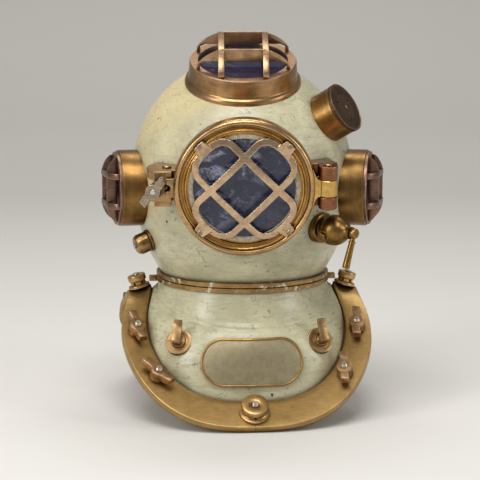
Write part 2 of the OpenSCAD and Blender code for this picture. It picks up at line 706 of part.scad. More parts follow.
// AIR SUPPLY at the back: elbow, non-return valve and its inlet thread
module bend(r, big, ang) {
    translate([0, -big, 0]) rotate([90, 0, 90]) rotate_extrude(angle = ang) translate([big, 0]) circle(r);
}
module after_bend(big, ang) {
    translate([0, -big, 0]) rotate([ang, 0, 0]) translate([0, big, 0]) children();
}
air_z = 160;
module air_elbow() color(BRASS) {
    difference() {
        union() {
            difference() {
                air_place() revolve([[0, 120], [21, 120], [21, 155.5], [19.5, 157], [0, 157]]);
                bonnet_form();
            }
            air_place() revolve([[0, 156], [14, 156], [12.5, air_z], [0, air_z]]);
        }
        air_place() rod(7.5, 120, air_z - 2);
    }
    air_place() translate([0, 0, air_z]) {
        bend(11, 26, 62);
        after_bend(26, 62) rod(12.4, -0.8, 6);
    }
}
module at_valve() {
    air_place() translate([0, 0, air_z]) after_bend(26, 62) translate([0, 0, 6]) children();
}
module non_return_body() color(BRASS) at_valve() difference() {
    union() {
        cylinder(r = 17.5, h = 9, $fn = 6);
        rod(14.5, 9, 36);
        rod(17, 30, 36);
        rod(11, 36, 52);
    }
    rod(7.5, -1, 53);
    rod(11.5, 4, 28);
}
module non_return_disc() color(DARK) at_valve() {
    rod(9.8, 20, 23);
    rod(1.8, 8, 20);
}
module non_return_spring() color(STEEL) at_valve() coil(9, 0.6, 4.65, 19.35, 4);
module comm_elbow() color(PAINT) {
    difference() {
        comm_place() revolve([[0, 120], [14, 120], [14, 150.5], [12.5, 152], [8.5, 153], [8, 157], [0, 157]]);
        bonnet_form();
        comm_place() rod(3, 120, 154);
    }
    comm_place() translate([0, 0, 157]) {
        bend(4.6, 16, 48);
        after_bend(16, 48) {
            difference() {
                union() {
                    rod(5.2, -0.6, 17);
                    rod(7.6, 16, 25);
                    rod(6, 24, 34);
                }
                rod(3, 16, 35);
            }
        }
    }
}
// Ducts soldered inside, from the air inlet to the top and side glasses
module duct_lines(w) {
    rotate([0, 0, -152]) box(-w, w, -160, -2, neck_z + 99 - w, c1_z + 160);
    rotate([0, 0, -170]) rotate_extrude(angle = 160)
        polygon([[120, c1_z - 10 - w * 0.8], [160, c1_z - 10 - w * 0.8], [160, c1_z - 10 + w * 0.8], [120, c1_z - 10 + w * 0.8]]);
}
module air_channels() color(PAINT) difference() {
    intersection() {
        difference() {
            bonnet_form(wall);
            bonnet_form(wall + 6);
        }
        duct_lines(10);
    }
    intersection() {
        bonnet_form(wall - 1);
        duct_lines(8.6);
        difference() {
            bonnet_form(wall - 1);
            bonnet_form(wall + 4.8);
        }
    }
    top_place() rod(top_bore, 80, 200);
}

// SAFETY LOCK at the back of the neck: a hinged dog that drops into a catch
lock_y = 140;
lock_z = neck_z - 11.5;
dog_rest = 75;
module lock_catch() color(BRASS) difference() {
    box(-11, 11, ring_r - 0.5, 133, neck_z + neck_gap / 2, bonnet_low + 3);
    rod(ring_r, neck_z, bonnet_low);
    rod(low_r + 1, bonnet_low - 1, bonnet_low + 5);
    box(-4.4, 4.4, ring_r + 2, 140, neck_z, bonnet_low + 5);
}
module lock_hinge() color(BRASS) {
    difference() {
        for (x = [4.3, -9.3]) translate([x, 0, 0]) rotate([90, 0, 90]) linear_extrude(5)
            polygon([[ring_r - 1, neck_z - 1.6], [ring_r + 3, neck_z - 1.6], [lock_y + 6, neck_z - 6.5],
                [lock_y + 6, neck_z - 17], [lock_y - 8, neck_z - 17], [ring_r + 3, neck_z - 9], [ring_r - 1, neck_z - 6]]);
        rod(ring_r, neck_z - 30, neck_z);
        translate([0, lock_y, lock_z]) rotate([0, 90, 0]) rod(2.5, -12, 12);
    }
    translate([0, lock_y, lock_z]) rotate([0, 90, 0]) rod(2.5, -10.3, 10.3);
}
module safety_lock() color(BRONZE) translate([0, lock_y, lock_z]) rotate([-dog_rest, 0, 0]) difference() {
    union() {
        rotate([0, 90, 0]) rod(5.4, -3.9, 3.9);
        box(-3.9, 3.9, -5, 5, 0, 19.6);
        box(-3.9, 3.9, -14, 0, 13.4, 19.6);
        box(-3.9, 3.9, 0, 11, 15, 19.6);
    }
    rotate([0, 90, 0]) rod(2.5 + run, -6, 6);
}

breastplate_shell();
rim_flange();
breastplate_neck_ring();
neck_gasket();
brail_front_left();
brail_front_right();
brail_rear_left();
brail_rear_right();
rim_studs();
wing_nuts();
flanged_nuts();
lashing_hook_left();
lashing_hook_right();
nameplate();
bonnet_shell();
bonnet_neck_ring();
top_port_frame();
top_port_glass();
top_port_guard();
left_port_frame();
left_port_glass();
left_port_guard();
right_port_frame();
right_port_glass();
right_port_guard();
port_gaskets();
face_port_frame();
face_gasket();
hinge_bracket();
hinge_pin();
clamp_bracket();
clamp_pivot_pin();
speaker_cup();
speaker_cup_cap();
speaker_receiver();
spitcock_body();
exhaust_valve_body();
air_elbow();
non_return_body();
comm_elbow();
air_channels();
lock_catch();
lock_hinge();
faceplate_ring();
faceplate_glass();
faceplate_seal();
faceplate_guard();
guard_screws();
swing_bolt();
clamp_washer();
clamp_wing_nut();
spitcock_lever();
exhaust_valve_wheel();
exhaust_stem();
exhaust_spring();
non_return_disc();
non_return_spring();
safety_lock();
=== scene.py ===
import math

import bpy
from mathutils import Matrix, Vector


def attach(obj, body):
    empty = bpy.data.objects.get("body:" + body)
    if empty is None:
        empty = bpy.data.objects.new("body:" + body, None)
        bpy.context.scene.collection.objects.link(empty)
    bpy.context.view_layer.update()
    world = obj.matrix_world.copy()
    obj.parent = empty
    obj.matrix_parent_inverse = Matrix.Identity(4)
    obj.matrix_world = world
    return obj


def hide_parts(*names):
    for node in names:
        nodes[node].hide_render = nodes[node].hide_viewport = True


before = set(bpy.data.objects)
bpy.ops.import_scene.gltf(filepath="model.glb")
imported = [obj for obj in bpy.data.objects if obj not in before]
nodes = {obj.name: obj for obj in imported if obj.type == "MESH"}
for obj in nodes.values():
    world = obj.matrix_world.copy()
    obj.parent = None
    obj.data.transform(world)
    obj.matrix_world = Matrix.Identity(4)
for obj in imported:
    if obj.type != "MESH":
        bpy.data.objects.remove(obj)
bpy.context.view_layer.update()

# CAMERA
# A long lens a little above the helmet's middle and slightly to its right hand, as the
# photograph was taken. The shift is the photograph's own framing, in pixels of its frame.
PHOTO_SIZE = 480
FOCAL_PIXELS = 1831
SENSOR_MM = 36
CAMERA_DISTANCE = 2.6
CAMERA_AZIMUTH = math.radians(-1)
CAMERA_HEIGHT = math.radians(9)
AIM_POINT = Vector((0, 0, 0.2235))
IMAGE_CENTRE = (242.3, 243.2)

camera_back = Vector((math.sin(CAMERA_AZIMUTH) * math.cos(CAMERA_HEIGHT),
                      -math.cos(CAMERA_AZIMUTH) * math.cos(CAMERA_HEIGHT),
                      math.sin(CAMERA_HEIGHT)))
bpy.ops.object.camera_add(location=AIM_POINT + camera_back * CAMERA_DISTANCE)
camera = bpy.context.object
camera.rotation_mode = "QUATERNION"
camera.rotation_quaternion = (-camera_back).to_track_quat("-Z", "Y")
camera.data.lens = FOCAL_PIXELS / PHOTO_SIZE * SENSOR_MM
camera.data.sensor_width = SENSOR_MM
camera.data.shift_x = (PHOTO_SIZE / 2 - IMAGE_CENTRE[0]) / PHOTO_SIZE
camera.data.shift_y = (IMAGE_CENTRE[1] - PHOTO_SIZE / 2) / PHOTO_SIZE
camera.data.clip_end = 50
bpy.context.scene.camera = camera
bpy.context.scene.view_settings.view_transform = "Standard"

# FLOOR AND LIGHT
# A pale sheet that sweeps up behind the helmet, lit by large soft lamps in a grey room,
# the strongest high over the front and on the left, as in the photograph.
FLOOR_COLOUR = "#DDDAD4"
ROOM_GREY = 0.3
SWEEP_HALF_WIDTH = 5.0
SWEEP_PROFILE = [(-4.5, 0), (2.2, 0), (2.9, 0.12), (3.4, 0.5), (3.65, 1.1), (3.7, 4.5)]


def tint(code):
    """An sRGB hex colour as the linear values that a shader takes."""
    values = [int(code[i:i + 2], 16) / 255 for i in (1, 3, 5)]
    return [v / 12.92 if v <= 0.04045 else ((v + 0.055) / 1.055) ** 2.4 for v in values] + [1]


def add(tree, kind, settings=None, links=None):
    """Adds one shader node. A setting is the node's own where it has one of that name, and
    otherwise a socket's value. A link comes from a socket, or from a node's first output."""
    made = tree.nodes.new("ShaderNode" + kind)
    for key, value in (settings or {}).items():
        if isinstance(key, str) and hasattr(made, key):
            setattr(made, key, value)
        else:
            made.inputs[key].default_value = value
    for key, source in (links or {}).items():
        if not isinstance(source, bpy.types.NodeSocket):
            source = next(socket for socket in source.outputs if socket.enabled)
        tree.links.new(source, made.inputs[key])
    return made


def new_material(name):
    """An empty material and its node tree, with only the output left in it."""
    material = bpy.data.materials.new(name)
    material.use_nodes = True
    tree = material.node_tree
    for old in list(tree.nodes):
        if old.type != "OUTPUT_MATERIAL":
            tree.nodes.remove(old)
    return material, tree, next(n for n in tree.nodes if n.type == "OUTPUT_MATERIAL")


def plain(name, colour, roughness, specular=0.5):
    """A material of one colour and one finish."""
    material, tree, output = new_material(name)
    shader = add(tree, "BsdfPrincipled", {"Base Color": tint(colour), "Roughness": roughness,
                                          "Specular IOR Level": specular})
    tree.links.new(shader.outputs[0], output.inputs[0])
    return material


def deselect():
    """Leaves nothing selected, since the frame comes in selected."""
    bpy.ops.object.select_all(action="DESELECT")


deselect()
bpy.ops.mesh.primitive_grid_add(x_subdivisions=2, y_subdivisions=len(SWEEP_PROFILE) - 1)
sweep = bpy.context.object
sweep.name = "studio_sweep"
for point in sweep.data.vertices:
    row = round((point.co.y + 1) / 2 * (len(SWEEP_PROFILE) - 1))
    point.co = (point.co.x * SWEEP_HALF_WIDTH, *SWEEP_PROFILE[row])
bpy.ops.object.shade_smooth()
# Matt paper, hardly reflecting
sweep.data.materials.append(plain("pale_paper_sweep", FLOOR_COLOUR, 0.9, 0.1))

world = bpy.data.worlds.new("grey_room")
world.use_nodes = True
background = world.node_tree.nodes["Background"]
background.inputs["Color"].default_value = (ROOM_GREY, ROOM_GREY, ROOM_GREY, 1)
bpy.context.scene.world = world

# name, place, aim, width, height, watts
LAMPS = [
    ("lamp_over", (-0.3, -1.1, 2.3), (0, 0, 0.25), 1.6, 1.2, 34),
    ("lamp_left", (-2.0, -1.6, 1.2), (0, 0, 0.25), 0.7, 1.6, 25),
    ("lamp_right", (2.2, -1.0, 1.0), (0, 0, 0.25), 0.7, 1.5, 13),
    ("lamp_back", (0.2, 1.2, 3.1), (0, 0, 0.3), 2.2, 0.8, 30),
]
for lamp_name, place, aim_at, wide, high, watts in LAMPS:
    bpy.ops.object.light_add(type="AREA", location=place)
    lamp = bpy.context.object
    lamp.name = lamp_name
    lamp.rotation_euler = (Vector(aim_at) - Vector(place)).to_track_quat("-Z", "Y").to_euler()
    lamp.data.shape = "RECTANGLE"
    lamp.data.size = wide
    lamp.data.size_y = high
    lamp.data.energy = watts

# BREASTPLATE
# A saddle of sheet copper, beaten to the shoulders and chest and drawn up to a short
# collar. It is enamelled a pale grey green; a shallow fold shows where the collar starts.
MM = 0.001
HERE = Matrix.Identity(4)
NECK = 180.0
WALL = 2.4
SEAT = Matrix.Rotation(math.radians(4), 4, "Z")
# Half width, half depth, squareness, top, drop and how late it drops, of the two edges
RIM_EDGE = (182, 208, 2.62, 22, 149, 1.3)
BAND_EDGE = (143, 166, 2.7, 12, 131, 1.06)
WAIST, WAIST_SPREAD = 0.1, 0.3
BRAIL_THICK = 6
COLLAR_RADIUS = 119
COLLAR_TOP = NECK - 6.9
COLLAR_SHARE = 0.25
# How far the chest's curve runs out and down from the fold, and upright into the band
CHEST_OUT, CHEST_DOWN, CHEST_UPRIGHT = 0.26, 0.2, 0.42
# The fold at the shoulders, and how much further out and down it runs front and back
FOLD_RADIUS, FOLD_OUT = 121, 14
FOLD_LOW, FOLD_DROP = 14, 37
FOLD_RIDGE, FOLD_SPREAD = 1.8, 0.019


def bow(value, power):
    """Signed power that squares off an ellipse."""
    return math.copysign(abs(value) ** (2 / power), value)


def saddle_edge(degrees, half_width, half_depth, power, top, drop, fall):
    """Point in mm on an edge of the rim: round in plan, hanging down front and back."""
    turn = math.radians(degrees)
    y = half_depth * bow(math.sin(turn), power)
    waist = 1 - WAIST * math.exp(-(y / (WAIST_SPREAD * half_depth)) ** 2)
    x = half_width * bow(math.cos(turn), power) * waist
    return Vector((x, y, NECK - top - drop * (abs(y) / half_depth) ** fall))


def outer_edge(degrees):
    """The rim's outer top edge."""
    return saddle_edge(degrees, *RIM_EDGE)


def inner_edge(degrees):
    """The inner top edge of the clamping bands."""
    return saddle_edge(degrees, *BAND_EDGE)


def band_normal(degrees):
    """Up from the band's face."""
    along = (inner_edge(degrees + 1) + outer_edge(degrees + 1)
             - inner_edge(degrees - 1) - outer_edge(degrees - 1))
    normal = (outer_edge(degrees) - inner_edge(degrees)).cross(along).normalized()
    return -normal if normal.z < 0 else normal


def band_point(degrees, share, depth):
    """A point share of the way across the band, depth below its face."""
    point = inner_edge(degrees).lerp(outer_edge(degrees), share) - depth * band_normal(degrees)
    point.z = max(point.z, 0)
    return point


def fold_point(degrees):
    """The fold between the collar and the chest."""
    turn = math.radians(degrees)
    lean = abs(math.sin(turn))
    radius = FOLD_RADIUS + FOLD_OUT * lean
    return Vector((radius * math.cos(turn), radius * math.sin(turn),
                   NECK - FOLD_LOW - FOLD_DROP * lean))


def skin_point(degrees, share):
    """The breastplate's outer skin, from the fold at 0 to the band at 1: a cubic curve."""
    turn = math.radians(degrees)
    start, end = fold_point(degrees), band_point(degrees, 0, BRAIL_THICK)
    reach = (end - start).length
    out = Vector((end.x - start.x + 0.01 * math.cos(turn),
                  end.y - start.y + 0.01 * math.sin(turn), 0)).normalized()
    first = start + reach * Vector((CHEST_OUT * out.x, CHEST_OUT * out.y, -CHEST_DOWN))
    second = end + Vector((0, 0, CHEST_UPRIGHT * reach))
    rest = 1 - share
    return (rest ** 3 * start + 3 * rest ** 2 * share * first
            + 3 * rest * share ** 2 * second + share ** 3 * end)


def skin_normal(degrees, share):
    """Out from the breastplate's skin."""
    low, high = max(share - 0.03, 0), min(share + 0.03, 1)
    normal = (skin_point(degrees, high) - skin_point(degrees, low)).cross(
        skin_point(degrees + 1, share) - skin_point(degrees - 1, share)).normalized()
    turn = math.radians(degrees)
    facing_out = normal.x * math.cos(turn) + normal.y * math.sin(turn) + normal.z
    return -normal if facing_out < 0 else normal


def creased_point(degrees, share):
    """The whole outer skin: the collar, the fold standing a little proud, and the chest."""
    turn = math.radians(degrees)
    round_out = Vector((math.cos(turn), math.sin(turn), 0))
    if share >= COLLAR_SHARE:
        point = skin_point(degrees, (share - COLLAR_SHARE) / (1 - COLLAR_SHARE))
    else:
        top = COLLAR_RADIUS * round_out + Vector((0, 0, COLLAR_TOP))
        point = top.lerp(fold_point(degrees), share / COLLAR_SHARE)
    proud = FOLD_RIDGE * math.exp(-((share - COLLAR_SHARE) / FOLD_SPREAD) ** 2)
    return point + proud * (round_out + Vector((0, 0, 0.4)))


def edit():
    """Goes into edit mode with everything selected."""
    bpy.ops.object.mode_set(mode="EDIT")
    bpy.ops.mesh.select_all(action="SELECT")


def close_up():
    """Turns all faces outward, with everything selected, and leaves edit mode."""
    bpy.ops.mesh.select_all(action="SELECT")
    bpy.ops.mesh.normals_make_consistent(inside=False)
    bpy.ops.object.mode_set(mode="OBJECT")


def wrapped(name, columns, rows, surface, joins=(True, False)):
    """A grid whose columns and rows are laid over surface(across, up), each from 0 to 1.
    joins says in which of the two directions its ends meet and are merged."""
    deselect()
    bpy.ops.mesh.primitive_grid_add(x_subdivisions=columns, y_subdivisions=rows, size=2)
    piece = bpy.context.object
    piece.name = name
    for point in piece.data.vertices:
        across = round((point.co.x + 1) / 2 * columns) / columns
        up = round((point.co.y + 1) / 2 * rows) / rows
        point.co = surface(across, up)
    edit()
    bpy.ops.mesh.remove_doubles(threshold=0.001)
    if joins == (False, True):
        bpy.ops.mesh.select_all(action="DESELECT")
        bpy.ops.mesh.select_non_manifold(extend=False)
        bpy.ops.mesh.edge_face_add()
    close_up()
    return piece


def select_only(*pieces):
    """Selects these pieces alone, the first of them active."""
    deselect()
    for piece in pieces:
        piece.select_set(True)
    bpy.context.view_layer.objects.active = pieces[0]


def modify(piece, kind, **settings):
    """Adds a modifier to a piece and applies it."""
    select_only(piece)
    bpy.ops.object.modifier_add(type=kind)
    modifier = piece.modifiers[-1]
    for key, value in settings.items():
        setattr(modifier, key, value)
    bpy.ops.object.modifier_apply(modifier=modifier.name)
    return piece


def settle(piece, crisp, place, body, slot, material, *replaced):
    """Shades a piece smooth but for edges over crisp degrees, bakes its place into its mesh,
    from mm, and says what it is part of."""
    select_only(piece)
    bpy.ops.object.shade_smooth_by_angle(angle=math.radians(crisp))
    piece.data.transform(Matrix.Scale(MM, 4) @ place)
    piece.data.materials.clear()
    piece.data.materials.append(material)
    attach(piece, body)
    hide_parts(*replaced)


def worn_enamel(name, light, shade):
    """Brushed enamel on beaten copper: glossy, yellower towards the upper left, with brush drag,
    hair scratches, small chips that show the dark metal, and dirt with painted shade in its
    hollows."""
    material, tree, output = new_material(name)
    place = add(tree, "TexCoord").outputs["Object"]
    # Drifts of colour some 60 mm across, and brush drag some 6 mm wide over them
    drift = add(tree, "TexNoise", {"Scale": 16, "Detail": 5, "Roughness": 0.62}, {0: place})
    share = add(tree, "MapRange", {1: 0.36, 2: 0.64}, {0: drift})
    ground = add(tree, "Mix", {"data_type": "RGBA", 6: tint(shade), 7: tint(light)}, {0: share})
    lay = add(tree, "Mapping", {"Scale": (28, 28, 150), "Rotation": (0.3, 0.25, 0)}, {0: place})
    drag = add(tree, "TexNoise", {"Scale": 1, "Detail": 3, "Distortion": 1.2}, {0: lay})
    dragged = add(tree, "MapRange", {1: 0.5, 2: 0.72, 4: 0.42}, {0: drag})
    # Yellower towards the upper left: metres up and across, broken into blotches
    parts = add(tree, "SeparateXYZ", None, {0: place})
    side = add(tree, "Math", {"operation": "MULTIPLY", 1: -1.1}, {0: parts.outputs[0]})
    rise = add(tree, "Math", {"operation": "MULTIPLY_ADD", 1: 0.9, 2: -0.28},
               {0: parts.outputs[2]})
    corner = add(tree, "Math", {"operation": "ADD"}, {0: side, 1: rise})
    blotch = add(tree, "TexNoise", {"Scale": 13, "Detail": 4}, {0: place})
    blotch = add(tree, "MapRange", {1: 0.3, 2: 0.7, 3: 1, 4: 8}, {0: blotch})
    corner = add(tree, "Math", {"operation": "MULTIPLY_ADD", 2: -0.36}, {0: corner, 1: blotch})
    upper_left_tint = add(tree, "MapRange", {1: 0, 2: 0.7, 4: 0.7}, {0: corner})
    # Mottling of 3 mm strokes where coats lie over each other
    lay = add(tree, "Mapping", {"Scale": (150, 150, 420), "Rotation": (0.9, 0.5, 0.4)}, {0: place})
    mottle = add(tree, "TexNoise", {"Scale": 1, "Detail": 4, "Roughness": 0.7, "Distortion": 0.8},
                 {0: lay})
    mottle = add(tree, "MapRange", {1: 0.52, 2: 0.72, 4: 0.42}, {0: mottle})
    # Hair scratches: short pieces of a noise's contour lines, half a millimetre wide
    swirl = add(tree, "TexNoise", {"Scale": 46, "Detail": 3, "Distortion": 1.6}, {0: place})
    off_line = add(tree, "Math", {"operation": "SUBTRACT", 1: 0.5}, {0: swirl})
    off_line = add(tree, "Math", {"operation": "ABSOLUTE"}, {0: off_line})
    hair = add(tree, "MapRange", {1: 0.002, 2: 0.012, 3: 1, 4: 0}, {0: off_line})
    where = add(tree, "TexNoise", {"Scale": 62, "Detail": 2}, {0: place})
    where = add(tree, "MapRange", {1: 0.5, 2: 0.6, 4: 0.8}, {0: where})
    hair = add(tree, "Math", {"operation": "MULTIPLY"}, {0: hair, 1: where})
    # Grime with painted shade where fittings meet the skin, and chips a few millimetres wide
    hidden = add(tree, "AmbientOcclusion", {"samples": 6, "Distance": 0.012}).outputs["AO"]
    grime_and_painted_shade = add(tree, "MapRange", {1: 0.35, 2: 0.85, 3: 0.6, 4: 0}, {0: hidden})
    speck = add(tree, "TexNoise", {"Scale": 98, "Detail": 3, "Roughness": 0.55}, {0: place})
    chip = add(tree, "MapRange", {1: 0.715, 2: 0.73}, {0: speck})
    for coat, share in (("#918D70", dragged), ("#D2BE8A", upper_left_tint), ("#857F62", mottle),
                        ("#4F4B38", hair), ("#6B6549", grime_and_painted_shade), ("#3A3227", chip)):
        ground = add(tree, "Mix", {"data_type": "RGBA", 7: tint(coat)}, {0: share, 6: ground})
    gloss = add(tree, "MapRange", {1: 0.3, 2: 0.7, 3: 0.26, 4: 0.46}, {0: drag})
    # The beaten copper shows as hollows 30 mm across, and the brush as ridges
    beaten = add(tree, "TexNoise", {"Scale": 30, "Detail": 1}, {0: place})
    relief = add(tree, "Bump", {"Strength": 0.5, "Distance": 0.0022}, {"Height": beaten})
    relief = add(tree, "Bump", {"Strength": 0.4, "Distance": 0.0006},
                 {"Height": drag, "Normal": relief})
    cuts = add(tree, "Math", {"operation": "MAXIMUM"}, {0: hair, 1: chip})
    relief = add(tree, "Bump", {"Strength": 0.6, "Distance": 0.0003, "invert": True},
                 {"Height": cuts, "Normal": relief})
    shader = add(tree, "BsdfPrincipled", {"Coat Weight": 0.25, "Coat Roughness": 0.18},
                 {"Base Color": ground, "Roughness": gloss, "Normal": relief})
    tree.links.new(shader.outputs[0], output.inputs[0])
    return material


# Pale green grey enamel, a little darker and greener than the bonnet's
breast_enamel = worn_enamel("brushed_enamel_of_breastplate", "#CBC6A3", "#B1AB8B")
breast_skin = wrapped("breastplate_skin", 216, 88,
                      lambda across, up: creased_point(360 * across, up))
modify(breast_skin, "SOLIDIFY", thickness=WALL, offset=-1)
settle(breast_skin, 50, SEAT, "breastplate", "paint", breast_enamel, "breastplate_shell")

# RIM FLANGE AND CLAMPING BANDS
# A cast flange runs round the skirt. Four bands of cast brass clamp the suit's collar on
# it; they meet at the front, the back and both shoulders. Rubbed bright on their edges.
BAND_SECTION = [(0.05, BRAIL_THICK), (0.05, 3.5), (0.05, 1.6), (0.062, 0.5), (0.09, 0.05),
                (0.25, -0.25), (0.5, -0.4), (0.75, -0.25), (0.965, 0), (0.988, 0.08),
                (0.997, 0.4), (1, 1.1), (1, 3.8), (1, BRAIL_THICK)]
FLANGE_SECTION = [(0, BRAIL_THICK), (0.3, BRAIL_THICK), (0.7, BRAIL_THICK), (1, BRAIL_THICK),
                  (1, 10), (0.985, 10.7), (0.96, 11), (0.5, 11), (0.04, 11), (0, 10.3)]
BAND_JOINT = 0.02


def local_axes(tree, place, object_place):
    """Object coordinates turned into those of a place in mm, split into x, y and z."""
    metres = Matrix.Scale(MM, 4) @ object_place @ Matrix.Scale(1 / MM, 4)
    local = add(tree, "Mapping", {"vector_type": "TEXTURE", "Location": metres.to_translation(),
                                  "Rotation": metres.to_euler()}, {0: place})
    split = add(tree, "SeparateXYZ", None, {0: local})
    flat = add(tree, "CombineXYZ", None, {0: split.outputs[0], 1: split.outputs[1]})
    radius = add(tree, "VectorMath", {"operation": "LENGTH"}, {0: flat})
    return local, split, flat, radius


def aged_metal(name, face, deep, rubbed, dull, patch_mm, lathe=None, patina=0.65, left_over=None):
    """A copper alloy long out of the polish: its face colour, gone deep brown in patches and in its
    hollows, as patina and painted shade, and rubbed bright on its edges. A lathe's place in mm
    gives it turning marks, and left_over is the colour of enamel that was brushed over it and has
    stayed in patches."""
    material, tree, output = new_material(name)
    place = add(tree, "TexCoord").outputs["Object"]
    patch = add(tree, "TexNoise", {"Scale": 1000 / patch_mm, "Detail": 6, "Roughness": 0.6,
                                   "Distortion": 0.4}, {0: place})
    fine = add(tree, "TexNoise", {"Scale": 620, "Detail": 3, "Roughness": 0.6}, {0: place})
    share = add(tree, "MapRange", {1: 0.4, 2: 0.68, 4: patina}, {0: patch})
    colour = add(tree, "Mix", {"data_type": "RGBA", 6: tint(face), 7: tint(deep)}, {0: share})
    specks = add(tree, "MapRange", {1: 0.55, 2: 0.75, 4: 0.4}, {0: fine})
    if lathe is None:
        # Wiping and handling leave fine scratches across the piece
        lay = add(tree, "Mapping", {"Scale": (90, 90, 1500), "Rotation": (0.5, 0.9, 0.2)},
                  {0: place})
    else:
        # The turning tool leaves rings: the noise reads only the radius and the height
        local, split, flat, radius = local_axes(tree, place, lathe)
        rings = add(tree, "CombineXYZ", None, {0: radius, 1: split.outputs[2]})
        lay = add(tree, "Mapping", {"Scale": (1100, 1100, 1)}, {0: rings})
    marks = add(tree, "TexNoise", {"Scale": 1, "Detail": 3, "Roughness": 0.65}, {0: lay})
    scored = add(tree, "MapRange", {1: 0.35, 2: 0.7, 4: 0.25}, {0: marks})
    # Deep brown in hollows found by occlusion: patina and painted shade
    open_air = add(tree, "AmbientOcclusion", {"samples": 6, "Distance": 0.009}).outputs["AO"]
    hollow_patina_and_shade = add(tree, "MapRange", {1: 0.3, 2: 0.85, 3: 0.85, 4: 0}, {0: open_air})
    # An edge is where the normal eased over 1.4 mm leaves the true one
    eased = add(tree, "Bevel", {"samples": 4, "Radius": 0.0014})
    true = add(tree, "NewGeometry").outputs["Normal"]
    match = add(tree, "VectorMath", {"operation": "DOT_PRODUCT"}, {0: eased, 1: true})
    edge = add(tree, "MapRange", {1: 0.9, 2: 0.992, 3: 1, 4: 0}, {0: match})
    clear = add(tree, "MapRange", {1: 0.55, 2: 0.9}, {0: open_air})
    edge = add(tree, "Math", {"operation": "MULTIPLY"}, {0: edge, 1: clear})
    broken = add(tree, "MapRange", {1: 0.25, 2: 0.6, 3: 1, 4: 0.35}, {0: fine})
    edge = add(tree, "Math", {"operation": "MULTIPLY"}, {0: edge, 1: broken})
    for tone, share in ((deep, specks), (rubbed, scored), (deep, hollow_patina_and_shade), (rubbed, edge)):
        colour = add(tree, "Mix", {"data_type": "RGBA", 7: tint(tone)}, {0: share, 6: colour})
    gloss = add(tree, "Math", {"operation": "MULTIPLY_ADD", 1: 0.32, 2: dull - 0.16}, {0: patch})
    gloss = add(tree, "Math", {"operation": "MULTIPLY_ADD", 1: 0.16}, {0: marks, 2: gloss})
    skin = add(tree, "Bump", {"Strength": 0.25, "Distance": 0.0003}, {"Height": patch})
    skin = add(tree, "Bump", {"Strength": 0.3, "Distance": 0.00006},
               {"Height": marks, "Normal": skin})
    shader = add(tree, "BsdfPrincipled", {"Metallic": 1.0},
                 {"Base Color": colour, "Roughness": gloss, "Normal": skin})
    if left_over:
        crust = add(tree, "TexNoise", {"Scale": 95, "Detail": 4, "Roughness": 0.6}, {0: place})
        kept = add(tree, "MapRange", {1: 0.6, 2: 0.62}, {0: crust})
        enamel = add(tree, "BsdfPrincipled", {"Base Color": tint(left_over), "Roughness": 0.4})
        shader = add(tree, "MixShader", None, {0: kept, 1: shader, 2: enamel})
    tree.links.new(shader.outputs[0], output.inputs[0])
    return material


def band_piece(name, first, last, columns, section):
    """A length of the rim between two angles, with a closed section of (share, depth)."""
    def surface(across, up):
        share, depth = section[round(up * len(section)) % len(section)]
        return band_point(first + (last - first) * across, share, depth)

    return wrapped(name, columns, len(section), surface, (last - first >= 360, True))


# Cast yellow brass, wiped but not polished: olive gold with soft brown clouds
rim_brass = aged_metal("cast_brass_of_rim", "#AE8E58", "#6E5028", "#E2C48C", 0.36, 34, patina=0.5)
settle(band_piece("rim_flange_casting", 0, 360, 240, FLANGE_SECTION), 50, SEAT,
       "breastplate", "brass", rim_brass, "rim_flange")
for quarter, band in enumerate(("rear_right", "rear_left", "front_left", "front_right")):
    brail = band_piece(f"brail_{band}_band", 90 * quarter + BAND_JOINT,
                       90 * (quarter + 1) - BAND_JOINT, 60, BAND_SECTION)
    settle(brail, 50, SEAT, "breastplate", "brass", rim_brass, f"brail_{band}")

# STUDS, WING NUTS AND FLANGED NUTS
# Twelve bronze studs stand in the flange and hold the bands down: under eight cast wing nuts,
# and under four turned round nuts with tommy bar holes where two bands meet.
STUD_ANGLES = [0, 18, 43, 90, 137, 162, 180, 198, 223, 270, 317, 342]
STUD_RADIUS = 4.6
STUD_LOW, STUD_TOP = -10, 21
THREAD_PITCH = 1.2
NUT_TURN = [0, 35, 20, 0, 50, -30, 0, 8, 10, 0, 24, -6]
NUT_LIFT = 0.6
WING_FOOT = [(STUD_RADIUS, 0), (10.6, 0), (11, 0.6), (11, 2.2), (9.8, 4.8), (9.8, 8),
             (STUD_RADIUS, 8)]
WING_HUB, WING_LOW, WING_HIGH = 10.8, 6.2, 16.4
WING_RISE, WING_TWIST = 0.14, 0.012
WING_EDGE = [(24.6, -5.6), (24.6, 5.6), (16, 5.7), (12.5, 5.2)]
ROUND_NUT = [(2.4, 0), (2.4, 2), (1.9, 3.2), (-1.2, 4.1), (-2, 4.9), (-2, 8.1), (-1.3, 9.1),
             (-0.3, 9.6), (0, 10.4)]
# Radius, height and gap beneath
SHOULDER_NUT, MIDDLE_NUT = (12.8, 18, 0.5), (18.2, 17.5, 0.3)
TOMMY_RADIUS, TOMMY_HEIGHT = 1.9, 6.4


def moved(x, y, z):
    """A step from one place to another."""
    return Matrix.Translation((x, y, z))


def rotated(degrees, axis):
    """A turn about one axis of a place."""
    return Matrix.Rotation(math.radians(degrees), 4, axis)


def frame_of(along, normal, origin):
    """A place whose x runs along and whose z is the normal."""
    made = Matrix((along, normal.cross(along), normal)).transposed().to_4x4()
    made.translation = origin
    return made


def on_band(degrees):
    """The place of a stud: x along the middle of the band, z off its face."""
    along = (band_point(degrees + 1, 0.5, 0) - band_point(degrees - 1, 0.5, 0)).normalized()
    return SEAT @ frame_of(along, band_normal(degrees), band_point(degrees, 0.5, 0))


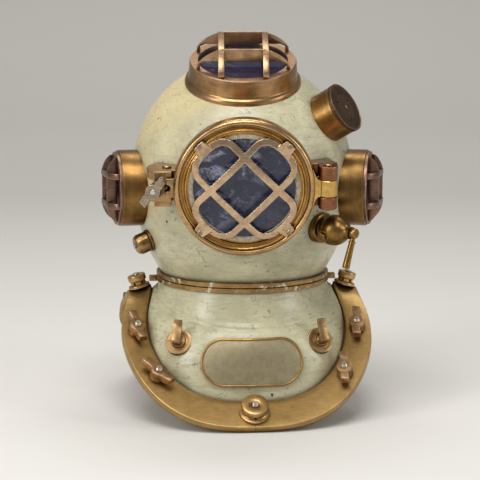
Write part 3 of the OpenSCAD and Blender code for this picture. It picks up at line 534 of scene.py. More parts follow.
def turned(name, outline, steps=96, angle=360):
    """A piece turned from a closed outline of (radius, height), or a part of its round."""
    deselect()
    bpy.ops.mesh.primitive_circle_add(vertices=len(outline), fill_type="NOTHING")
    piece = bpy.context.object
    piece.name = name
    for point, (radius, height) in zip(piece.data.vertices, outline):
        point.co = (radius, 0, height)
    edit()
    bpy.ops.mesh.spin(steps=steps, angle=math.radians(angle), center=(0, 0, 0), axis=(0, 0, 1))
    bpy.ops.mesh.select_all(action="SELECT")
    bpy.ops.mesh.remove_doubles(threshold=0.001)
    bpy.ops.mesh.delete_loose(use_verts=True, use_edges=True, use_faces=False)
    if angle < 360:
        bpy.ops.mesh.select_all(action="SELECT")
        bpy.ops.mesh.fill_holes(sides=0)
    close_up()
    return piece


def plate(name, outline, low, high):
    """A piece cut from plate: a flat outline of (x, y), thick from low to high."""
    deselect()
    bpy.ops.mesh.primitive_circle_add(vertices=len(outline), fill_type="NGON")
    piece = bpy.context.object
    piece.name = name
    for point, (x, y) in zip(piece.data.vertices, outline):
        point.co = (x, y, low)
    edit()
    bpy.ops.mesh.extrude_region_move(TRANSFORM_OT_translate={"value": (0, 0, high - low)})
    close_up()
    return piece


def bevelled(piece, width, segments=2, over=40):
    """Rounds a piece's edges that are sharper than over degrees."""
    return modify(piece, "BEVEL", width=width, segments=segments, limit_method="ANGLE",
                  angle_limit=math.radians(over))


def oblong(left, right, low, high):
    """The outline of a rectangle."""
    return [(left, low), (right, low), (right, high), (left, high)]


def arc(radius, angles, x=0, y=0):
    """Points round a centre."""
    return [(x + radius * math.cos(math.radians(angle)), y + radius * math.sin(math.radians(angle)))
            for angle in angles]


def thread(radius, deep, start, ridges):
    """The outline of a thread, as rings from start up."""
    outline = []
    for ridge in range(ridges):
        root = start + (ridge + 0.5) * THREAD_PITCH
        outline += [(radius - deep, root), (radius, root + 0.5 * THREAD_PITCH)]
    return outline


def copied(piece, name):
    """A copy of a piece, with a mesh of its own."""
    made = bpy.data.objects.new(name, piece.data.copy())
    bpy.context.scene.collection.objects.link(made)
    return made


def fused(name, *pieces):
    """Several pieces joined into one."""
    select_only(*pieces)
    bpy.ops.object.join()
    pieces[0].name = name
    return pieces[0]


def bore(radius, low, high, place=HERE, steps=96):
    """A round hole's form, for cut_away."""
    form = turned("bore", oblong(0, radius, low, high), steps)
    form.data.transform(place)
    return form


def cut_away(piece, *tools):
    """Cuts other pieces out of a piece, and drops them."""
    for tool in tools:
        modify(piece, "BOOLEAN", operation="DIFFERENCE", solver="EXACT", object=tool)
        bpy.data.objects.remove(tool)
    return piece


# Threads run over the bronze's end, which is wiped to a pale shine
stud_bronze = aged_metal("wiped_stud_bronze", "#C9BDA6", "#6F5B42", "#F0E8DA", 0.24, 7, patina=0.4)
stud_pattern = turned("stud_pattern", [
    (0, STUD_LOW), (STUD_RADIUS, STUD_LOW), (STUD_RADIUS, 10), *thread(STUD_RADIUS, 0.5, 10, 8),
    (STUD_RADIUS - 0.3, STUD_TOP - 0.8), (STUD_RADIUS - 1.3, STUD_TOP), (0, STUD_TOP)], 32)
# Cast gunmetal, browner and pinker than the rim, bright where thumbs have rubbed the ears
nut_bronze = aged_metal("cast_gunmetal_of_wing_nuts", "#A8845C", "#5E4128", "#E8CBA4", 0.3, 13)
half_plan = (WING_EDGE + arc(WING_HUB, range(36, 145, 12))
             + [(-x, y) for x, y in reversed(WING_EDGE[2:])])
wings = plate("wing_nut_wings", half_plan + [(-x, -y) for x, y in half_plan], WING_LOW, WING_HIGH)
for point in wings.data.vertices:
    # The wings rise outward, and turn a little as they do
    out = max(abs(point.co.x) - WING_HUB, 0)
    point.co.z += WING_RISE * out
    point.co.y += math.copysign(WING_TWIST * out * out, point.co.x)
cut_away(bevelled(wings, 0.7, over=35), bore(STUD_RADIUS, 0, 22, steps=48))
wing_pattern = fused("wing_nut_pattern", wings, turned("wing_nut_foot", WING_FOOT, 48))
for number, angle in enumerate(STUD_ANGLES):
    settle(copied(stud_pattern, f"rim_stud_{number + 1}"), 35, on_band(angle), "breastplate",
           "bright", stud_bronze, "rim_studs")
    if number % 3:
        settle(copied(wing_pattern, f"rim_wing_nut_{number + 1}"), 38,
               on_band(angle) @ moved(0, 0, NUT_LIFT) @ rotated(NUT_TURN[number], "Z"),
               "breastplate", "bronze", nut_bronze, "wing_nuts")
        continue
    radius, tall, gap = MIDDLE_NUT if number % 2 else SHOULDER_NUT
    place = on_band(angle) @ moved(0, 0, gap)
    round_nut = turned(f"rim_round_nut_{number + 1}", [
        (STUD_RADIUS, 0), *((radius + out, height) for out, height in ROUND_NUT),
        (radius, tall - 1.2), (radius - 0.4, tall - 0.35), (radius - 1.2, tall),
        (radius * 0.62, tall - 0.3), (STUD_RADIUS + 1.2, tall - 0.3), (STUD_RADIUS, tall - 1)], 72)
    cut_away(round_nut, *(
        bore(TOMMY_RADIUS, radius - 7, radius + 4,
             moved(0, 0, TOMMY_HEIGHT) @ rotated(hole_at, "Z") @ rotated(90, "Y"), 24)
        for hole_at in range(30, 360, 60)))
    # Turned brass with the marks of the tool round it
    round_brass = aged_metal(f"turned_brass_of_round_nut_{number + 1}", "#BE9A62", "#6B4A28",
                             "#F0D29C", 0.26, 15, place)
    settle(round_nut, 32, place, "breastplate", "brass", round_brass, "flanged_nuts")
bpy.data.objects.remove(stud_pattern)

# LASHING HOOKS
# Two gunmetal castings riveted to the chest: a dished base, a boss and a strap bent up from
# it, on which the weights' lashing is made fast.
HOOK_BASE = [(0, -7), (18.3, -7), (18.3, 3), (17.8, 3.9), (16.6, 4.3), (13, 3.7), (10.4, 4),
             (9.8, 4.8), (9.8, 8.2), (9.2, 9), (6.4, 9.2), (5.6, 10), (5.6, 17.4), (0, 17.4)]
# The strap's side view: (up the chest, out from it)
HOOK_STRAP = [(-2, 10), (-2, 14.6), (-1, 16.4), (1, 17), (12, 17), (18, 17.3), (22.6, 18.8),
              (25.4, 21), (23.2, 23.6), (20.8, 21.8), (17, 20.6), (12, 20.3), (-3, 20.3),
              (-5.6, 19.4), (-7, 17.4), (-7.2, 14.6), (-7.2, 10)]
HOOK_HALF_WIDTH = 6
HOOK_SHARE, HOOK_LEAN = 0.455, 0.45

# The same gunmetal, gone darker and handled less
hook_bronze = aged_metal("cast_gunmetal_of_hooks", "#A07E54", "#553E24", "#E0C294", 0.29, 12)
for side, degrees in (("left", 230.6), ("right", 308.2)):
    # Set on the chest's slope, but turned towards the front
    out = skin_normal(degrees, HOOK_SHARE)
    out = Vector((HOOK_LEAN * out.x, out.y, out.z)).normalized()
    place = SEAT @ frame_of(Vector((0, 0, 1)).cross(out).normalized(), out,
                            skin_point(degrees, HOOK_SHARE))
    strap = plate(f"lashing_hook_{side}_strap", HOOK_STRAP, -HOOK_HALF_WIDTH, HOOK_HALF_WIDTH)
    strap.data.transform(Matrix(((0, 0, 1), (1, 0, 0), (0, 1, 0))).to_4x4())
    for piece in (turned(f"lashing_hook_{side}_base", HOOK_BASE, 72), bevelled(strap, 0.5)):
        settle(piece, 40, place, "breastplate", "bronze", hook_bronze, "lashing_hook_" + side)

# NAMEPLATE
# A racetrack shaped plate soldered to the chest, left bare here: a rolled bronze sheet that
# has gone dull olive, inside a raised brass edge.
PLATE_WIDTH, PLATE_HEIGHT = 137, 62
PLATE_Z = NECK - 95.5
PLATE_ARC, PLATE_LINE = 24, 14
PLATE_REACH = (PLATE_WIDTH - PLATE_HEIGHT) / 2
# Sections of (radius, lift off the skin)
PLATE_FACE = [(0, 3.2), (9, 3.2), (18, 3.2), (25, 3.2), (29.2, 3.2), (30.2, 3.2), (30.2, 0.3),
              (18, 0.3), (0, 0.3)]
PLATE_EDGE = [(28, 0.3), (28, 3.6), (28.2, 4.1), (28.8, 4.45), (29.6, 4.55), (30.3, 4.45),
              (30.9, 4.1), (31.1, 3.6), (31.1, 0.3)]


def plate_point(x, z, lift):
    """The point lift above the skin that has a given x and height on the plate, found in a
    few steps over the skin."""
    # A first guess near the plate's middle
    degrees, share = 270 + x / 2.4, 0.55
    for attempt in range(6):
        here = skin_point(degrees, share)
        aside, above = skin_point(degrees + 0.5, share), skin_point(degrees, share + 0.02)
        degrees += 0.5 * (x - here.x) / (aside.x - here.x)
        share += 0.02 * (PLATE_Z + z - here.z) / (above.z - here.z)
    return skin_point(degrees, share) + lift * skin_normal(degrees, share)


def racetrack(across, radius, lift):
    """A point at a radius round the plate, across being the share of the way round it."""
    half, step = divmod(across * 2 * (PLATE_ARC + PLATE_LINE), PLATE_ARC + PLATE_LINE)
    side = 1 if half % 2 == 0 else -1
    turn = math.radians(-90 + 180 * min(step / PLATE_ARC, 1))
    along = PLATE_REACH - 2 * PLATE_REACH * max(step - PLATE_ARC, 0) / PLATE_LINE
    return plate_point(side * (along + radius * math.cos(turn)), side * radius * math.sin(turn),
                       lift)


# The sheet dull and wiped in small patches, the edge rubbed clean by every wipe of the plate
plate_bronze = aged_metal("dulled_bronze_sheet", "#A69A7C", "#776A4C", "#CBBF9E", 0.44, 9,
                          patina=0.5)
edge_brass = aged_metal("rubbed_brass_edge", "#A88650", "#64481F", "#E2C184", 0.28, 10, patina=0.5)
for name, section, rows, slot, metal in (
        ("nameplate_face", PLATE_FACE, len(PLATE_FACE) - 1, "bronze", plate_bronze),
        ("nameplate_edge", PLATE_EDGE, len(PLATE_EDGE), "brass", edge_brass)):
    piece = wrapped(
        name, 2 * (PLATE_ARC + PLATE_LINE), rows,
        lambda across, up: racetrack(across, *section[round(up * rows) % len(section)]),
        (True, rows == len(section)))
    settle(piece, 40, SEAT, "breastplate", slot, metal, "nameplate")

# NECK RINGS
# Two gunmetal rings with an interrupted thread of four lugs each; an eighth of a turn locks
# the bonnet down on a leather ring. Some of the enamel was brushed over their edges.
BORE = 103.0
RING_RADIUS = 122.0
JOINT_GAP = 0.4
BONNET_LOW = NECK + 6.9
COLLAR_INNER = COLLAR_RADIUS - WALL
LOWER_RING = [(BORE + 9.4, NECK - JOINT_GAP), (RING_RADIUS - 0.8, NECK - JOINT_GAP),
              (RING_RADIUS, NECK - 1.2), (RING_RADIUS, COLLAR_TOP + 0.8),
              (RING_RADIUS - 0.8, COLLAR_TOP), (COLLAR_INNER, COLLAR_TOP),
              (COLLAR_INNER, COLLAR_TOP - 4), (COLLAR_INNER - 2, NECK - 26),
              (BORE - 2, NECK - 26), (BORE - 2, NECK - 23), (BORE + 9.4, NECK - 23)]
UPPER_RING = [(BORE, NECK - 19), (BORE + 4.9, NECK - 19), (BORE + 4.9, NECK + JOINT_GAP),
              (RING_RADIUS - 0.8, NECK + JOINT_GAP), (RING_RADIUS, NECK + 1.2),
              (RING_RADIUS, BONNET_LOW - 1), (RING_RADIUS - 1, BONNET_LOW), (BORE, BONNET_LOW)]
LOWER_LUG = oblong(BORE + 5.4, BORE + 9.6, NECK - 11, NECK - 6)
UPPER_LUG = oblong(BORE + 4.7, BORE + 9, NECK - 17, NECK - 11.4)
# The operator turns left-handed, so a lug is turned from its far end back
LUG_ENDS, LUG_ANGLE = (65, 155, 245, 335), 40
BLOCK_OUT, BLOCK_HALF_WIDTH = 132.4, 6

# Brown gunmetal with turning marks and flecks of the pale enamel
neck_brass = aged_metal("gunmetal_neck_ring_with_old_enamel", "#A07E50", "#523A1C", "#DDBB84",
                        0.3, 16, HERE, left_over="#C9C4A6")
for name, outline, lug_outline, body, node_name in (
        ("lower_neck_ring", LOWER_RING, LOWER_LUG, "breastplate", "breastplate_neck_ring"),
        ("upper_neck_ring", UPPER_RING, UPPER_LUG, "bonnet", "bonnet_neck_ring")):
    parts = [turned(name, outline, 192)]
    for lug_end in LUG_ENDS:
        parts.append(turned("lug", lug_outline, 16, LUG_ANGLE))
        parts[-1].data.transform(rotated(lug_end, "Z"))
    settle(fused(name, *parts), 35, HERE, body, "brass", neck_brass, node_name)
for name, turn in (("right", 0), ("left", 180)):
    block = plate("neck_ring_block_" + name,
                  oblong(RING_RADIUS - 1, BLOCK_OUT, -BLOCK_HALF_WIDTH, BLOCK_HALF_WIDTH),
                  NECK - 8, NECK - JOINT_GAP - 0.2)
    settle(bevelled(block, 0.9, 3, 30), 40, SEAT @ rotated(turn, "Z"), "breastplate", "brass",
           neck_brass, "breastplate_neck_ring")

# Oiled leather ring, nearly black
leather = plain("oiled_leather_seat", "#2A2622", 0.6)
settle(turned("neck_leather", oblong(BORE - 1, BORE + 9, NECK - 23, NECK - 19.6), 128), 35, HERE,
       "breastplate", "gasket", leather, "neck_gasket")

# BONNET
# The helmet itself: sheet copper spun to a ball that draws in to the neck, with a round hole
# bored for each port and valve, and the same enamel as the breastplate.
BALL_RADIUS = 153.0
BALL_Z = NECK + 153
SKIRT_Z = BALL_Z - 20
SKIRT_ROWS = 18
TAPER = 193.0
FACE_SEAT, FACE_Z, FACE_TILT = 155.0, NECK + 145.5, 10
FLAT_BACK = 3.0


def facing(azimuth, elevation, z, y=0):
    """A place whose z looks outward, by its azimuth from the front and its elevation."""
    return moved(0, y, z) @ rotated(azimuth, "Z") @ rotated(90 - elevation, "X")


FACE = facing(0, -FACE_TILT, FACE_Z, -FACE_SEAT * math.cos(math.radians(FACE_TILT)))
TOP = facing(0, 69.5, BALL_Z)
LEFT = facing(-78, 0, NECK + 127.5)
RIGHT = facing(78, 0, NECK + 127.5)
SPEAKER = facing(61, 29.5, BALL_Z)
SPIT = facing(44.5, -2, NECK + 87)
EXHAUST = facing(-67, -19, NECK + 105.4)
AIR = facing(-152, -8, NECK + 120)
COMM = facing(128, -14, NECK + 100)
# Place and radius of each round hole, and how far out it starts
HOLES = [(LEFT, 40, 80), (RIGHT, 40, 80), (TOP, 58, 80), (FACE, 70, -100), (SPEAKER, 28, 100),
         (SPIT, 5, 100), (EXHAUST, 12, 100), (AIR, 9, 100), (COMM, 5, 100)]
HOLE_LONG = 160


def ball(name, within, *foot):
    """A solid of the bonnet's form, a distance within its skin, closed by the points of its
    foot, and pressed flat where the face port's base is bedded on it."""
    outline = arc(BALL_RADIUS - within, range(90, -1, -3), 0, BALL_Z)
    outline[0] = (0, outline[0][1])
    for row in range(SKIRT_ROWS + 1):
        drop = (SKIRT_Z - BONNET_LOW) * row / SKIRT_ROWS
        outline.append((BALL_RADIUS * math.sqrt(1 - (drop / TAPER) ** 2) - within, SKIRT_Z - drop))
    for low in foot:
        outline.append((outline[-1][0], low))
    piece = turned(name, outline + [(0, outline[-1][1])], 192)
    for point in piece.data.vertices:
        local = FACE.inverted() @ point.co
        if local.y < 0 and local.z > -FLAT_BACK - within:
            local.z = -FLAT_BACK - within
            point.co = FACE @ local
    return piece


bonnet_skin = ball("bonnet_skin", 0)
bonnet_form = copied(bonnet_skin, "bonnet_form")
cut_away(bonnet_skin, ball("inner_ball", WALL, BONNET_LOW - 5),
         *(bore(radius, start, start + HOLE_LONG, place) for place, radius, start in HOLES))
# A warmer, lighter coat than the breastplate's
bonnet_enamel = worn_enamel("brushed_enamel_of_bonnet", "#CEC8A6", "#ADA88A")
settle(bonnet_skin, 35, HERE, "bonnet", "paint", bonnet_enamel, "bonnet_shell")


def bedded(piece, place):
    """Sets a fitting on the bonnet, with what would reach inside the skin cut away."""
    piece.data.transform(place)
    return cut_away(piece, copied(bonnet_form, "bed"))


# TOP PORT
# A round light let into the crown, leaning forward: a cast ring with a bead at its foot, a
# plate glass bedded on a leather ring, and a guard of four crossed brass straps riveted on.
TOP_RADIUS = 73.0
TOP_FACE = 164.0
TOP_FOOT = [(58, 100), (80, 100), (80, 131.2), (79.9, 133.6), (79.2, 136), (77.9, 137.6),
            (76.3, 138.3), (75.5, 139.2), (75.1, 140.6), (74.6, 147), (73.6, 157),
            (73.5, TOP_FACE - 4), (66.3, TOP_FACE - 4), (66.3, 148), (58, 148)]
TOP_RIM = [(61, 157), (66, 157), (66, TOP_FACE - 4), (TOP_RADIUS, TOP_FACE - 4),
           (TOP_RADIUS, TOP_FACE - 1), (TOP_RADIUS - 0.9, TOP_FACE), (62, TOP_FACE),
           (61, TOP_FACE - 1)]
TOP_PANE = [(0, 149), (65.4, 149), (65.9, 149.5), (65.9, 156.2), (65.1, 157), (0, 157)]
# Bore, outer radius and foot of each pane's leather ring
LEATHERS = {"top": (TOP, 58, 65.9, 148), "left": (LEFT, 40, 44, 160), "right": (RIGHT, 40, 44, 160)}
STRAP_THICK, STRAP_WIDE = 2.5, 8.0
# A strap on edge: how far in from the rim it stands, how far its foot and its throat lie
# within that, and how high up its throat the foot ends
STRAP_IN, STRAP_FOOT, STRAP_THROAT, STRAP_SHOULDER = 1.5, 5, 12, 0.7
CORNER_STEPS = 9


def arch(reach, top, corner_x, corner_z):
    """The outline over a guard strap: up at one side, round the corner, across and down. Its
    corner lies halfway between a quarter round and a straight slope."""
    left = []
    for step in range(CORNER_STEPS + 1):
        slope = step / CORNER_STEPS
        turn = math.radians(180 - 90 * slope)
        left.append((corner_x * 0.5 * (1 + math.cos(turn) + slope) - reach,
                     top - corner_z + corner_z * 0.5 * (math.sin(turn) + slope)))
    return [(-reach, 0)] + left + [(-x, z) for x, z in reversed(left)] + [(reach, 0)]


def guard_straps(name, place, space, rim, top, deep, corner_x, corner_z, over):
    """Two straps on edge and two flat ones crossed over them, all standing on a guard's rim."""
    reach = math.sqrt(rim * rim - space * space) - STRAP_IN
    foot, throat = reach - STRAP_FOOT, reach - STRAP_THROAT
    shoulder = (top - deep) * STRAP_SHOULDER
    on_edge = arch(reach, top, corner_x, corner_z) + [
        (foot, 0), (foot, shoulder), (throat, top - deep), (-throat, top - deep),
        (-foot, shoulder), (-foot, 0)]
    inner = arch(reach - STRAP_THICK, top - STRAP_THICK, over - 1, corner_z - 1)
    straps = []
    for outline, width, turn in (
            (on_edge, STRAP_THICK, 0),
            (arch(reach, top, over, corner_z) + inner[::-1], STRAP_WIDE, 90)):
        pattern = bevelled(plate("strap", outline, -width / 2, width / 2), 0.55)
        for side in (-space, space):
            straps.append(copied(pattern, f"{name}_strap_{len(straps) + 1}"))
            straps[-1].data.transform(place @ rotated(turn, "Z") @ moved(0, side, 0)
                                      @ rotated(90, "X"))
        bpy.data.objects.remove(pattern)
    return straps


def filmed_glass(name, place, radius, film_share):
    """Thick plate glass over a dark inside: deep navy and glossy, the navy partly a painted shade
    of that inside, with a smeared lavender film, partly dried brine and partly a painted
    reflection, most of it near the edge."""
    material, tree, output = new_material(name)
    local, split, flat, out = local_axes(tree, add(tree, "TexCoord").outputs["Object"], place)
    rim = add(tree, "MapRange", {1: radius * 0.2 * MM, 2: radius * 0.8 * MM, 3: 0.75, 4: 1},
              {0: out})
    # More of it up and to the left
    lean = add(tree, "VectorMath", {"operation": "DOT_PRODUCT", 1: (-0.75, 0.65, 0)}, {0: flat})
    lean = add(tree, "MapRange", {1: -radius * 0.35 * MM, 2: radius * 0.4 * MM, 3: 0.12, 4: 1},
               {0: lean})
    wiped = add(tree, "Mapping", {"Scale": (42, 60, 42), "Rotation": (0, 0, 0.5)}, {0: local})
    smear = add(tree, "TexNoise", {"Scale": 1, "Detail": 7, "Roughness": 0.66, "Distortion": 0.8},
                {0: wiped})
    smear = add(tree, "MapRange", {1: 0.5, 2: 0.63}, {0: smear})
    grains = add(tree, "TexNoise", {"Scale": 330, "Detail": 2}, {0: local})
    grains = add(tree, "MapRange", {1: 0.42, 2: 0.58, 3: 0.45, 4: 1}, {0: grains})
    film = smear
    for share in (rim, grains, lean):
        film = add(tree, "Math", {"operation": "MULTIPLY"}, {0: film, 1: share})
    film = add(tree, "Math", {"operation": "MULTIPLY_ADD", 1: film_share, 2: film_share * 0.05},
               {0: film})
    gloss = add(tree, "MapRange", {1: 0, 2: 0.5, 3: 0.04, 4: 0.3}, {0: film})
    # Navy and half diffuse: the glass's tint, with painted shade for the dark inside behind it
    clear = add(tree, "BsdfPrincipled", {"Base Color": tint("#24264C"), "IOR": 1.52,
                                         "Transmission Weight": 0.5, "Specular IOR Level": 0.4},
                {"Roughness": gloss})
    # A pale lavender film: dried brine, and a painted reflection of the pale floor
    salt_and_painted_reflection = add(tree, "BsdfPrincipled", {"Base Color": tint("#BCC2DC"), "Roughness": 0.3})
    both = add(tree, "MixShader", None, {0: film, 1: clear, 2: salt_and_painted_reflection})
    tree.links.new(both.outputs[0], output.inputs[0])
    return material


# Yellow brass of the port ring: brown where it is sheltered, polished on its bead
top_brass = aged_metal("turned_brass_of_top_port", "#A68055", "#4E3216", "#E6C195", 0.24, 26, TOP)
# Rolled strap, pinker than the cast ring, rubbed pale along its edges
strap_bronze = aged_metal("rolled_strap_of_guards", "#B08A66", "#5A3C24", "#EBCFAE", 0.26, 12)
settle(bedded(turned("top_port_ring", TOP_FOOT, 144), TOP), 32, HERE, "bonnet", "brass", top_brass,
       "top_port_frame")
settle(turned("top_port_pane", TOP_PANE), 32, TOP, "bonnet", "window",
       filmed_glass("plate_glass_of_top_port", TOP, 66, 0.2), "top_port_glass")
settle(turned("top_guard_rim", TOP_RIM, 144), 32, TOP, "bonnet", "bronze", strap_bronze,
       "top_port_guard")
for strap in guard_straps("top_guard", TOP @ moved(0, 0, TOP_FACE), 30, TOP_RADIUS - 1.5, 28.7, 18,
                          35, 23, 36):
    settle(strap, 40, HERE, "bonnet", "bronze", strap_bronze, "top_port_guard")
# Leather rings under the glasses of this port and the next two, pressed thin
for name, (place, inner, outer, low) in LEATHERS.items():
    settle(turned(name + "_pane_leather", oblong(inner, outer, low, low + 1)), 32, place, "bonnet",
           "gasket", leather, "port_gaskets")

# SIDE PORTS
# Two lights a little forward of the ears, each a turned drum brazed to the bonnet, with its
# pane and a lower guard of crossed straps.
DRUM_RADIUS, DRUM_BORE = 53.0, 40.0
DRUM_FACE = 178.0


def raised(level, outline):
    """An outline of (radius, height) whose heights are given from a level."""
    return [(radius, level + height) for radius, height in outline]


DRUM = raised(DRUM_FACE, [
    (DRUM_BORE, -88), (DRUM_RADIUS, -88), (DRUM_RADIUS, -1.4), (DRUM_RADIUS - 0.5, -0.4),
    (DRUM_RADIUS - 1.4, 0), (44.4, 0), (44.4, -18), (DRUM_BORE, -18)])
SIDE_PANE = raised(DRUM_FACE, [(0, -17), (43.5, -17), (44, -16.5), (44, -9.5), (43.5, -9), (0, -9)])
SIDE_RIM = raised(DRUM_FACE, [
    (DRUM_BORE, -9), (44.2, -9), (44.2, 0.05), (DRUM_RADIUS - 2, 0.05), (DRUM_RADIUS - 2, 3.2),
    (DRUM_RADIUS - 2.8, 4), (DRUM_BORE + 0.8, 4), (DRUM_BORE, 3.2)])

for name, place in (("left", LEFT), ("right", RIGHT)):
    # Brown brass with turning marks; ring and straps darker than the top port's, as painted shade
    shaded_drum_brass = aged_metal(f"turned_brass_of_{name}_drum", "#7E5E30", "#3A250C", "#CDA672", 0.28,
                            20, place)
    shaded_side_bronze = aged_metal(f"strap_bronze_of_{name}_guard", "#7E6050", "#3E2C22", "#D2B298", 0.3,
                             12)
    settle(bedded(turned(name + "_port_drum", DRUM, 144), place), 32, HERE, "bonnet", "brass",
           shaded_drum_brass, name + "_port_frame")
    settle(turned(name + "_port_pane", SIDE_PANE), 32, place, "bonnet", "window",
           filmed_glass(f"plate_glass_of_{name}_port", place, 44, 0.3), name + "_port_glass")
    settle(turned(name + "_guard_ring", SIDE_RIM, 144), 32, place, "bonnet", "bronze", shaded_side_bronze,
           name + "_port_guard")
    on_rim = place @ moved(0, 0, DRUM_FACE + 4) @ rotated(90, "Z")
    for strap in guard_straps(name + "_guard", on_rim, 20.6, DRUM_RADIUS - 2.5, 14.5, 14.4, 19, 12,
                              17):
        settle(strap, 40, HERE, "bonnet", "bronze", shaded_side_bronze, name + "_port_guard")

# FACE PORT
# The cast ring that the door shuts on, widening forward from the bonnet, with a rubber
# ring let into its face.
DOOR_RADIUS = 94.5
PORT_BORE = 70.0
PORT_CONE = [(PORT_BORE, -75), (DOOR_RADIUS - 14, -75), (DOOR_RADIUS - 14, -48),
             (DOOR_RADIUS - 1.2, -4.4), (DOOR_RADIUS - 1, -3.4), (DOOR_RADIUS - 1, -0.7),
             (DOOR_RADIUS - 1.7, 0), (79, 0), (79, -2.5), (73, -2.5), (73, 0),
             (PORT_BORE + 0.5, 0), (PORT_BORE, -0.5)]
PORT_RUBBER = [(73, -2.5), (79, -2.5), (79, -0.4), (78.6, 0), (73.4, 0), (73, -0.4)]

# Dull brown cast brass, turned on its face and rubbed by the door
port_brass = aged_metal("cast_brass_of_face_port", "#8F6C40", "#432D14", "#CFAE80", 0.32, 22, FACE)
settle(bedded(turned("face_port_ring", PORT_CONE, 144), FACE), 32, HERE, "bonnet", "brass",
       port_brass, "face_port_frame")
# Soft black rubber, matt
rubber = plain("black_rubber_ring", "#25221F", 0.65)
settle(turned("face_port_rubber", PORT_RUBBER), 32, FACE, "bonnet", "gasket", rubber, "face_gasket")

# DOOR HINGE AND CLAMP BRACKETS
# Cast brass arms brazed to the bonnet beside the face port: two barrels of the hinge on one
# side and two cheeks for the swing bolt on the other, each with its turned pin.
HINGE_X, HINGE_Z = 111.0, 8.0
CLAMP_X, CLAMP_Z = 103.0, -14.0
HINGE = FACE @ moved(HINGE_X, 0, HINGE_Z) @ rotated(90, "X")
CLAMP = FACE @ moved(-CLAMP_X, 0, CLAMP_Z) @ rotated(90, "X")
HINGE_PIN = [(0, -32.5), (4.6, -32.5), (5.6, -31.7), (5.6, -30), (4, -30), (4, 29), (5.6, 29),
             (5.6, 31), (4.9, 31.5), (0, 32)]
CLAMP_PIN = [(0, -24), (5, -24), (6, -23.2), (6, -21), (4, -21), (4, 29), (6, 29), (6, 31.2),
             (5.2, 32), (0, 32)]


def cad_copy(name, node_name):
    """A copy of a CAD node in mm, with its facets joined up."""
    piece = copied(nodes[node_name], name)
    piece.data.transform(Matrix.Scale(1 / MM, 4))
    select_only(piece)
    edit()
    bpy.ops.mesh.remove_doubles(threshold=0.005)
    close_up()
    return piece


def cast(name, node_name, grain, rounds, body, slot, material):
    """Makes a CAD node one closed skin with the soft corners of a casting."""
    piece = modify(cad_copy(name, node_name), "REMESH", mode="VOXEL", voxel_size=grain)
    modify(piece, "SMOOTH", factor=0.5, iterations=rounds)
    settle(piece, 70, HERE, body, slot, material, node_name)


# Copper red on the hinge's barrels, golden on the cheeks
hinge_brass = aged_metal("coppery_cast_hinge", "#855838", "#3E2212", "#D8A078", 0.22, 12)
clamp_brass = aged_metal("cast_brass_of_clamp_cheeks", "#AE8C60", "#5F4326", "#E9CCA0", 0.28, 14)
cast("hinge_bracket_casting", "hinge_bracket", 0.7, 4, "bonnet", "brass", hinge_brass)
cast("clamp_bracket_casting", "clamp_bracket", 0.7, 4, "bonnet", "brass", clamp_brass)
# Turned bronze pins, their heads polished by hands
pin_bronze = aged_metal("turned_bronze_pin", "#B58C68", "#5E4028", "#F0D2AC", 0.22, 6)
settle(turned("hinge_pin_turned", HINGE_PIN, 48), 35, HINGE, "bonnet", "bronze", pin_bronze,
       "hinge_pin")
settle(turned("clamp_pin_turned", CLAMP_PIN, 48), 35, CLAMP, "bonnet", "bronze", pin_bronze,
       "clamp_pivot_pin")

# SPEAKER CUP
# A short brass cup high on the left cheek, closed by a flat bronze cap with a raised lip, a
# middle screw and three spanner holes; the telephone's receiver sits inside.
CUP_FACE = 184.0
CUP = raised(CUP_FACE, [(28, -84), (34.5, -84), (34.5, -6.6), (34, -6), (28, -6)])
CAP = raised(CUP_FACE, [(0, -12), (27.8, -12), (27.8, -6), (34.7, -6), (35.2, -5.4), (35.2, -1),
                        (35, -0.3), (34.5, 0), (33.9, 0), (33.4, -0.7), (0, -0.7)])
CAP_SCREW = raised(CUP_FACE, [(0, -1), (2.9, -1), (2.9, 0.3), (2, 0.8), (0, 0.8)])
RECEIVER = raised(CUP_FACE, [(0, -34), (22, -34), (24, -32.8), (27.8, -26), (27.8, -12.2),
                             (0, -12.2)])
SPANNER_RADIUS, SPANNER_OUT = 2, 18

cup_brass = aged_metal("turned_brass_of_speaker_cup", "#94703A", "#3E280C", "#DDBB84", 0.27, 18,
                       SPEAKER)
settle(bedded(turned("speaker_cup_turned", CUP), SPEAKER), 32, HERE, "bonnet", "brass", cup_brass,
       "speaker_cup")
# The cap's face has gone nearly as dark as leather, and its lip is rubbed pink
cap_bronze = aged_metal("dark_bronze_of_cap", "#4A3624", "#261A12", "#C99F7C", 0.4, 12, SPEAKER)
cap = cut_away(turned("speaker_cap_turned", CAP), *(
    bore(SPANNER_RADIUS, CUP_FACE - 4, CUP_FACE + 1,
         rotated(hole_at, "Z") @ moved(SPANNER_OUT, 0, 0), 24) for hole_at in (30, 150, 270)))
settle(cap, 32, SPEAKER, "bonnet", "bronze", cap_bronze, "speaker_cup_cap")
settle(turned("speaker_cap_screw", CAP_SCREW, 32), 35, SPEAKER, "bonnet", "bronze", pin_bronze,
       "speaker_cup_cap")
# Black lacquered receiver, seen only past the open door
lacquer = plain("black_lacquer_of_receiver", "#241D17", 0.4)
settle(turned("receiver_turned", RECEIVER, 64), 32, SPEAKER, "bonnet", "dark", lacquer,
       "speaker_receiver")

